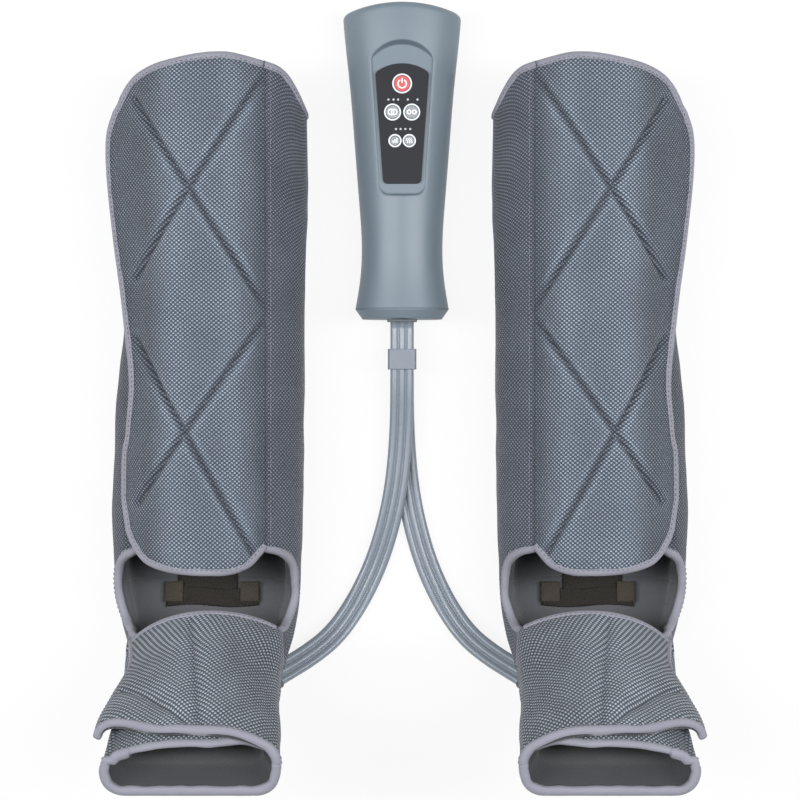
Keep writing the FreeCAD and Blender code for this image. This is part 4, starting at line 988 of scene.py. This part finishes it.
def foot_lap_spot(u, v, full):
    along = mix(FOOT_FLAP_START, FOOT_LENGTH - 9.0 * ease(0.45, 0.1, u), v)
    size = foot_size(along)
    x = mix(0.9, -0.7, u) * size[0]
    crown = section_parts(size[0], size[2])[3]
    lift = math.sqrt(crown ** 2 - x ** 2)

    def at(inset):
        shrink = (crown - inset) / crown
        return foot_place(x * shrink, along, size[2] - crown + lift * shrink)

    return at(6.8 - lumps((x, along, 0), 20.0) * 0.25), at(7.2 + full), (x, along)


def band_layer(x, turn, levels, full):
    """Top, back and cloth place of a layer over the heel's lining."""
    top, back = levels
    return heel_place(x, turn, top + full), heel_place(x, turn, back), (x, turn * BAND_RADIUS)


def heel_band_spot(u, v, full):
    x = mix(-33.0, 33.0, u)
    sag = ease(-29.0, -20.0, x) * ease(27.0, 16.0, x)
    turn = mix(0.045 + 0.05 * sag, 0.26, v) + 0.012 * math.sin(x / 9.0)
    ruck = 0.5 * math.cos(x / 5.3) + 0.4 * lumps((x, turn * 60.0, 0.0), 6.0, 1.0)
    return band_layer(x, turn, BAND_LEVELS, full + ruck * ease(0.0, 0.2, full))


def band_end_spot(start, end):
    def spot(u, v, full):
        x, turn = mix(start, end, u), mix(0.035, 0.225, v)
        return band_layer(x, turn, FOLD_LEVELS, full * 0.6)
    return spot


def heel_pocket_spot(u, v, full):
    x, turn = mix(-25.0, 18.0, u), mix(-0.035, 0.12, v)
    return band_layer(x, turn, POCKET_LEVELS, full * 0.3)


def declare(piece, body, slot, *replaced, fill=None):
    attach(piece, body)
    if replaced:
        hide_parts(*replaced)
    return piece


# Camera straight above the laid-out pair, and the hoses
VIEW_Y = ANKLE_Y + 126.8
VIEW_HEIGHT = 1750.0
FLOOR_SCALE = 0.72
HOSE_TUCK = 11.0
HOSE_OUTLETS = {"left": (1.5, 43.0, 18.2), "right": (1.5, 43.0, 12.0)}
HOSE_ENTRIES = {"left": (-81.48, -203.5, 34.55), "right": (81.48, -203.5, 34.55)}
HOSE_WAYS = {
    "left": ((0.0, 0.154, 0.457), (0.006, 0.321, 0.274), (0.047, 0.475, 0.205), (0.122, 0.596, 0.142),
             (0.235, 0.714, 0.054), (0.398, 0.8235, 0.073), (0.584, 0.909, 0.303), (0.789, 0.961, 0.628)),
    "right": ((0.0, 0.154, 0.262), (0.006, 0.321, 0.073), (0.044, 0.475, 0.0065), (0.116, 0.596, 0.002),
              (0.226, 0.714, 0.0065), (0.3875, 0.8235, 0.066), (0.576, 0.909, 0.303), (0.784, 0.961, 0.628)),
}


def hose_route(side):
    start, end = HOSE_OUTLETS[side], HOSE_ENTRIES[side]
    way = [(mix(start[0], end[0], across), mix(start[1], end[1], along), mix(HOSE_DIAMETER / 2, end[2], rise))
           for across, along, rise in HOSE_WAYS[side]]
    ahead = Vector(end) - Vector(way[-1])
    return [start, *way, end, tuple(Vector(end) + ahead.normalized() * HOSE_TUCK)]


def route_line(name, route):
    curve = bpy.data.curves.new(name, "CURVE")
    curve.dimensions = "3D"
    curve.resolution_u = 12
    spline = curve.splines.new("NURBS")
    spline.points.add(len(route) - 1)
    for point, place in zip(spline.points, route):
        point.co = (*(c * MM for c in place), 1.0)
    spline.order_u = 3
    spline.use_endpoint_u = True
    guide = add_object(name, curve)
    graph = bpy.context.evaluated_depsgraph_get()
    line = bpy.data.meshes.new_from_object(guide.evaluated_get(graph), depsgraph=graph)
    points = [vertex.co / MM for vertex in line.vertices]
    bpy.data.objects.remove(guide)
    bpy.data.meshes.remove(line)
    return points


def ribbon_ring():
    """Outline of three round hoses joined side by side, once round."""
    radius = HOSE_DIAMETER / 2
    half = HOSE_PITCH / 2
    meet = math.acos(half / radius)
    turns = ((HOSE_PITCH, meet - math.pi, math.pi - meet, 16), (0.0, meet, math.pi - meet, 8),
             (-HOSE_PITCH, meet, TAU - meet, 16), (0.0, math.pi + meet, TAU - meet, 8))
    ring = []
    for centre, start, end, count in turns:
        for angle in spread(start, end, count)[:-1]:
            ring.append((centre + radius * math.cos(angle), radius * math.sin(angle)))
    return ring


def hose_frame(ahead):
    """Directions across and up for a ribbon that runs ahead."""
    across = ahead.cross(Vector((0, 0, 1))).normalized()
    return across, across.cross(ahead)


def hose_ribbon(side):
    line = route_line(side + "_hose_line", hose_route(side))
    ring = ribbon_ring()
    distances = runs(line)
    points, uvs = [], []
    for k, (point, run) in enumerate(zip(line, distances)):
        across, up = hose_frame((line[min(k + 1, len(line) - 1)] - line[max(k - 1, 0)]).normalized())
        points += [point + across * a + up * b for a, b in ring]
        uvs += [(number * 0.8, run) for number in range(len(ring))]
    piece = tube_piece(side + "_hose_ribbon", points, uvs, len(ring), VINYL)
    declare(piece, "base", "hose_vinyl", side + "_hose")


SLEEVE_RINGS = ((-3.6, 0.93), (-4.0, 1.0), (-3.0, 1.06), (0.0, 1.03), (6.0, 1.0), (12.0, 1.0))
SLEEVE_POINTS = 36
SLEEVE_HALF_SIZE = (9.1, 3.5)


def hose_sleeve(side):
    """Cloth sleeve on the heel's inner side that the ribbon goes into."""
    before, end = (Vector(p) for p in hose_route("left")[-2:])
    ahead = (end - before).normalized()
    across, up = hose_frame(ahead)
    points, uvs = [], []
    for run, swell in SLEEVE_RINGS:
        for number in range(SLEEVE_POINTS):
            x, y = math.cos(TAU * number / SLEEVE_POINTS), math.sin(TAU * number / SLEEVE_POINTS)
            a = math.copysign(abs(x) ** 0.45, x) * SLEEVE_HALF_SIZE[0] * swell
            b = math.copysign(abs(y) ** 0.6, y) * SLEEVE_HALF_SIZE[1] * swell
            points.append(end + ahead * run + across * a + up * b)
            uvs.append((number * 1.6, run))
    piece = tube_piece(side + "_hose_sleeve", points, uvs, SLEEVE_POINTS, SLEEVE, side)
    declare(piece, "base", "binding_tape", side + "_hose_entry")


for side in SIDES:
    hose_ribbon(side)
    hose_sleeve(side)


# Wraps
BOOT = boot_grids()
CALF_FLAP = calf_flap_grids()
FOOT_FLAP = foot_flap_grids()


def bound_edge(name, lines, side, body, *replaced, width, depth, tucked=False, inset=3.3, rise=1.05):
    """Tape round an edge, from its points, points further in and points below; gives its row of stitches."""
    outward, normals = edge_frames(*lines)
    tape = tape_piece(name, lines[0], outward, normals, width, depth, side, tucked)
    declare(tape, body, "binding_tape", *replaced)
    return inset_path(lines[0], outward, normals, inset, rise)


def free_rim(outer, inner, aside=4):
    """Edge of a flap from its last row, down its free side and back along its first row."""
    def around(grid, inset):
        down = [row[-1 - inset] for row in grid][-2:0:-1]
        return list(grid[-1 - inset]) + down + list(grid[inset])[::-1]

    path, beside, below = around(outer, 0), around(outer, aside), around(inner, 0)
    for k in range(len(outer[0]) - aside, len(outer[0])):
        beside[k] = outer[-1 - aside][-1 - aside]
        beside[len(beside) - 1 - k] = outer[aside][-1 - aside]
    return path, beside, below


# Random tone on the boot's cover, with painted shade darkening its outer side.
def cover_tone_and_painted_shade(p):
    return 0.46 + 0.14 * lumps(p, 24.0, 3.0) - 0.2 * ease(-WRAP_CENTRE - 20.0, -WRAP_CENTRE - 52.0, p.x)


def boot_pieces(side):
    outer, inner, uvs, tags = BOOT
    calf_rows = [k for k, (kind, _) in enumerate(tags) if kind == "calf"]
    foot_rows = [k for k, (kind, _) in enumerate(tags) if kind == "foot"]
    heel_rows = range(calf_rows[-1], foot_rows[0] + 1)
    parts = (
        (calf_rows, SHADED_PANEL_MESH, LINING, "cover_fabric", ("calf_cover", "calf_bladder", "calf_lining")),
        (heel_rows, SHADED_PANEL_MESH, LINING, "cover_fabric", ("heel_cup",)),
        (foot_rows, FOOT_MESH, FOOT_LINING, "foot_fabric", ("foot_cover", "foot_bladder")))
    for rows, finish, lining, slot, replaced in parts:
        # Random tone and painted shade for each point of the cover
        full = [[cover_tone_and_painted_shade(p) for p in outer[k]] for k in rows]
        grids = [[grid[k] for k in rows] for grid in (outer, inner, uvs)]
        piece = pad_piece(f"{side}_{replaced[0]}_soft", *grids, [finish, lining], side, full)
        declare(piece, "base", slot, *[f"{side}_{node}" for node in replaced], fill=0.6)

    threads = []
    ankle = (("inner", 0, 3, FLAP_INNER_START + 2.0, [f"{side}_ankle_binding"]),
             ("outer", -1, -4, FLAP_OUTER_START, []))
    for name, end, beside, reach, replaced in ankle:
        rows = [k for k, (kind, along) in enumerate(tags)
                if kind == "heel" or (kind == "foot" and along < reach)
                or (kind == "calf" and along < OPENING_REACH - 3.0 * end)]
        lines = [[outer[k][end] for k in rows], [outer[k][beside] for k in rows],
                 [inner[k][end] for k in rows]]
        if end == 0:
            back = (lines[0][0] - lines[0][1]).normalized() * 3.0 - Vector((0, 0, 0.6))
            lines = [[line[0] + back] + line for line in lines]
        threads.append(bound_edge(f"{side}_ankle_tape_{name}", lines, side, "base", *replaced,
                                  width=4.0, depth=3.6, inset=3.4, rise=1.15))
    threads.append(bound_edge(f"{side}_toe_tape", (outer[-1], outer[-4], inner[-1]), side, "base",
                              f"{side}_toe_binding", width=4.0, depth=4.2, tucked=True))
    threads.append(bound_edge(f"{side}_top_tape", (outer[0], outer[2], inner[0]), side, "base",
                              width=4.4, depth=4.4, tucked=True))
    declare(stitches(f"{side}_boot_stitches", threads, side, TAPE_THREAD), "base", "binding_tape")
    seam = [on_skin(SEAM_STITCH_X, y, 0.0) for y in spread(27.0, 0.97 * CALF_LENGTH, 160)]
    seam = stitches(f"{side}_seam_stitches", [seam], side, TAPE, spacing=3.0, length=2.0, thickness=0.7)
    declare(seam, "base", "binding_tape")


def declare_blend(piece, replaced):
    """Hides the part that a padded piece replaces and bakes the piece's placing into its points."""
    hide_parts(replaced)
    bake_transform(piece)


def quilting_line(start, end):
    plan = [(mix(start[0], end[0], t), mix(start[1], end[1], t)) for t in spread(0.01, 0.985, 90)]
    return [on_skin(x, y, flap_rise(x, y, 0.0) + 0.2) for x, y in plan if x < SEAM_X - 1.5]


def calf_flap_pieces(side):
    outer, inner, uvs, tone_and_painted_light = CALF_FLAP
    body = f"{side}_calf_flap_body"
    flap = pad_piece(f"{side}_calf_flap_quilted", outer, inner, uvs, [FLAP_MESH, LINING], side, tone_and_painted_light)
    declare_blend(flap, f"{side}_calf_flap")

    lines = [line[1::2] + line[-1:] * 2 for line in free_rim(outer, inner)]
    path = lines[0]
    path[-1] = path[-2] + (path[-2] - path[-4]).normalized() * 1.6
    edge = bound_edge(f"{side}_calf_flap_tape", lines, side, body, f"{side}_calf_flap_binding",
                      width=4.4, depth=6.8)
    declare(stitches(f"{side}_calf_flap_edge_stitches", [edge], side, TAPE_THREAD), body, "binding_tape")
    quilting = stitches(f"{side}_quilting_stitches", [quilting_line(*line) for line in QUILT_LINES], side,
                        THREAD, spacing=2.8, length=2.3, thickness=0.8)
    declare(quilting, body, "flap_fabric")
    hook = lap_piece(f"{side}_hook_strip_soft", [CLOSURE, CLOSURE], side, (12, 60),
                     calf_lap_spot(start=-38.0, end=-16.0, low=70.0, high=290.0, level=8.05), thickness=0.6)
    declare(hook, body, "closure_fabric", f"{side}_calf_hook_strip")

    body = f"{side}_calf_underlap_body"
    lap = lap_piece(f"{side}_calf_underlap_soft", [LINING, LINING], side, (40, 120),
                    calf_lap_spot(start=15.0, end=-47.0, low=34.0, high=325.0, level=9.3), thickness=2.6)
    declare_blend(lap, f"{side}_calf_underlap")
    loop = lap_piece(f"{side}_loop_patch_soft", [CLOSURE, CLOSURE], side, (20, 60),
                     calf_lap_spot(start=6.0, end=-34.0, low=70.0, high=290.0, level=8.75), thickness=0.35)
    declare(loop, body, "closure_fabric", f"{side}_calf_loop_patch")


def foot_flap_pieces(side):
    outer, inner, uvs, tone_and_painted_light = FOOT_FLAP
    body = f"{side}_foot_flap_body"
    flap = pad_piece(f"{side}_foot_flap_soft", outer, inner, uvs, [FOOT_MESH, FOOT_LINING], side, tone_and_painted_light)
    declare(flap, body, "foot_fabric", f"{side}_foot_flap", fill=0.5)
    bare = 0.93 * foot_size(FLAP_INNER_START)[1] - WRAP_CENTRE
    first = next(k for k, p in enumerate(outer[0]) if p.x < bare)
    lines = [line[first:] for line in free_rim(outer[::-1], inner[::-1])]
    edge = bound_edge(f"{side}_foot_flap_tape", lines, side, body, f"{side}_foot_flap_binding",
                      width=4.0, depth=4.0, inset=3.2)
    declare(stitches(f"{side}_foot_flap_stitches", [edge], side, TAPE_THREAD), body, "binding_tape")

    body = f"{side}_foot_underlap_body"
    lap = lap_grids(40, 60, foot_lap_spot, thickness=2.6)
    soft = pad_piece(f"{side}_foot_underlap_soft", *lap, [FOOT_MESH, FOOT_LINING], side)
    declare(soft, body, "lining_fabric", f"{side}_foot_underlap", fill=0.4)
    bound_edge(f"{side}_foot_underlap_tape", (lap[0][-1], lap[0][-4], lap[1][-1]), side, body,
               width=4.2, depth=2.0)

    band = lap_piece(f"{side}_heel_band_web", [BAND, BAND], side, (40, 14), heel_band_spot, thickness=0.6)
    declare(band, "base", "band_fabric", f"{side}_heel_band")
    for name, spot, finish in (("band_fold_outer", band_end_spot(-34.0, -21.0), FOLD),
                               ("band_fold_inner", band_end_spot(20.0, 33.5), FOLD),
                               ("heel_pocket_edge", heel_pocket_spot, BAND)):
        patch = lap_piece(f"{side}_{name}", [finish, finish], side, (16, 14), spot, thickness=0.8)
        declare(patch, "base", "band_fabric")


for side in SIDES:
    boot_pieces(side)
    calf_flap_pieces(side)
    foot_flap_pieces(side)


# Controller: the moulded solids keep their shapes
CONTROLLER_FINISHES = (
    (SHELL, ("controller_front_shell", "controller_rear_shell", "controller_end_cap")),
    (PANEL, ("control_panel",)), (RED, ("power_button",)), (RING, ("button_rings",)),
    (FACE, ("combine_button", "separate_button", "intensity_button", "heat_button")),
    (LIGHT, ("indicator_lights",)), (BOARD, ("control_board",)), (BRASS, ("pump_eccentric",)),
    (BLACK, ("push_switches", "pump_head", "air_valves", "air_manifold", "power_inlet")),
    (STEEL, ("pump_motor", "shell_screws")), (RUBBER, ("hose_grommet",)), (CLIP, ("hose_clip",)),
)
for finish, names in CONTROLLER_FINISHES:
    for name in names:
        nodes[name].data.materials.clear()
        nodes[name].data.materials.append(finish)


def mark_piece(name, loops, button, width):
    """Raised mark on a button's face in strokes of one width; places are shares of its radius."""
    low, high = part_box(button)
    centre = (low + high) / 2 / MM
    radius = (high.x - low.x) / 2 / MM - 0.9
    top = high.z / MM + 0.02
    points, faces = [], []
    for number, loop in enumerate(loops):
        line = [Vector((centre.x + x * radius, centre.y + y * radius, top + 0.02 * number)) for x, y in loop]
        closed = (line[0] - line[-1]).length < 0.001
        if closed:
            line.pop()
        count, first = len(line), len(points)
        for k, p in enumerate(line):
            before = line[k - 1] if closed or k else p
            after = line[(k + 1) % count] if closed or k < count - 1 else p
            run = (after - before).normalized()
            step = Vector((-run.y, run.x, 0)) * width / 2
            if not closed:
                p = p + run * width * 0.35 * ((k == count - 1) - (k == 0))
            points += [p + step * aside + Vector((0, 0, lift))
                       for aside, lift in ((1, 0.05), (-1, 0.05), (-1, -0.12), (1, -0.12))]
        for k in range(count if closed else count - 1):
            a, b = first + 4 * k, first + 4 * ((k + 1) % count)
            faces += [(a + i, a + (i + 1) % 4, b + (i + 1) % 4, b + i) for i in range(4)]
        if not closed:
            faces += [tuple(range(first, first + 4)), tuple(range(len(points) - 4, len(points)))]
    piece = new_piece(name, points, faces, [MARK])
    tidy_normals(piece)
    piece.data.polygons.foreach_set("use_smooth", [False] * len(piece.data.polygons))
    declare(piece, button + "_body", "ring_plastic")


def arc_points(centre, radius, start, end, count):
    return [(centre[0] + radius * math.cos(a), centre[1] + radius * math.sin(a))
            for a in spread(start, end, count)]


BUTTON_MARKS = (
    ("power", 0.9, [arc_points((0, -0.04), 0.52, math.radians(125), math.radians(415), 20),
                    [(0, 0.12), (0, 0.62)]]),
    ("combine", 0.8, [arc_points((x, 0), 0.42, 0, TAU, 18) for x in (-0.24, 0.24)]),
    ("separate", 0.8, [arc_points((x, 0), 0.28, 0, TAU, 14) for x in (-0.4, 0.4)]),
    ("intensity", 0.7, [[(x, -0.4), (x, top)] for x, top in ((-0.4, -0.05), (0, 0.2), (0.4, 0.45))]),
    ("heat", 0.5, [[(x + 0.14 * math.sin(t * TAU), mix(-0.5, 0.5, t)) for t in spread(0, 1, 12)]
                   for x in (-0.44, 0.0, 0.44)]),
)
for name, width, strokes in BUTTON_MARKS:
    mark_piece(name + "_mark", strokes, name + "_button", width)


# Floor, light and camera, in metres and watts
FLOOR_HALF = 4.0
FLOOR_Z = -0.0004
FLOOR_GLOW = 0.88
WORLD_STRENGTH = 0.22
STRIP_PLACE = (1.05, 0.1, 1.6)
STRIP_AIM = (0.06, 0.0, 0.05)
STRIP_SIZE = (0.28, 1.9)
STRIP_POWER = 34.0
SENSOR_WIDTH = 36.0
PHOTO_PIXELS = 800


def floor_piece():
    finish = Finish("pale_floor")
    ray = finish.node("ShaderNodeLightPath")
    outputs = ray.socket.node.outputs
    seen = Thread(finish, outputs["Is Camera Ray"]) + Thread(finish, outputs["Is Glossy Ray"])
    seen = finish.step(seen + Thread(finish, outputs["Is Transmission Ray"]), 0.0, 1.0)
    matt = finish.node("ShaderNodeBsdfDiffuse", None, {"Color": (0.80, 0.80, 0.80, 1.0)})
    glow = finish.node("ShaderNodeEmission", None, {"Color": (1, 1, 1, 1), "Strength": 1.0})
    both = finish.node("ShaderNodeMixShader", None, {0: seen * FLOOR_GLOW, 1: matt, 2: glow})
    finish.node("ShaderNodeOutputMaterial", None, {"Surface": both})
    corners = [(x * FLOOR_HALF, y * FLOOR_HALF, FLOOR_Z) for x, y in ((-1, -1), (1, -1), (1, 1), (-1, 1))]
    mesh = bpy.data.meshes.new("floor")
    mesh.from_pydata(corners, [], [(0, 1, 2, 3)])
    mesh.materials.append(finish.material)
    add_object("floor", mesh)


def lamp(way):
    """Long strip of light on one side of the pair."""
    name = f"side_strip_{way}"
    data = bpy.data.lights.new(name, "AREA")
    data.shape = "RECTANGLE"
    data.size, data.size_y = STRIP_SIZE
    data.energy = STRIP_POWER
    place, aim = (Vector((x * way, y, z)) for x, y, z in (STRIP_PLACE, STRIP_AIM))
    made = add_object(name, data)
    made.location = place
    made.rotation_euler = (aim - place).to_track_quat("-Z", "Y").to_euler()


def world_light():
    world = bpy.data.worlds.new("studio")
    world.use_nodes = True
    ground = world.node_tree.nodes["Background"]
    ground.inputs["Color"].default_value = (1, 1, 1, 1)
    ground.inputs["Strength"].default_value = WORLD_STRENGTH
    bpy.context.scene.world = world


def photo_camera():
    data = bpy.data.cameras.new("photo_camera")
    data.sensor_width = SENSOR_WIDTH
    data.lens = SENSOR_WIDTH * VIEW_HEIGHT / (PHOTO_PIXELS * FLOOR_SCALE)
    data.clip_end = 20.0
    camera = add_object("photo_camera", data)
    camera.location = (0.0, VIEW_Y * MM, VIEW_HEIGHT * MM)
    bpy.context.scene.camera = camera


floor_piece()
world_light()
for way in (-1, 1):
    lamp(way)
photo_camera()
bpy.context.scene.view_settings.view_transform = "Standard"
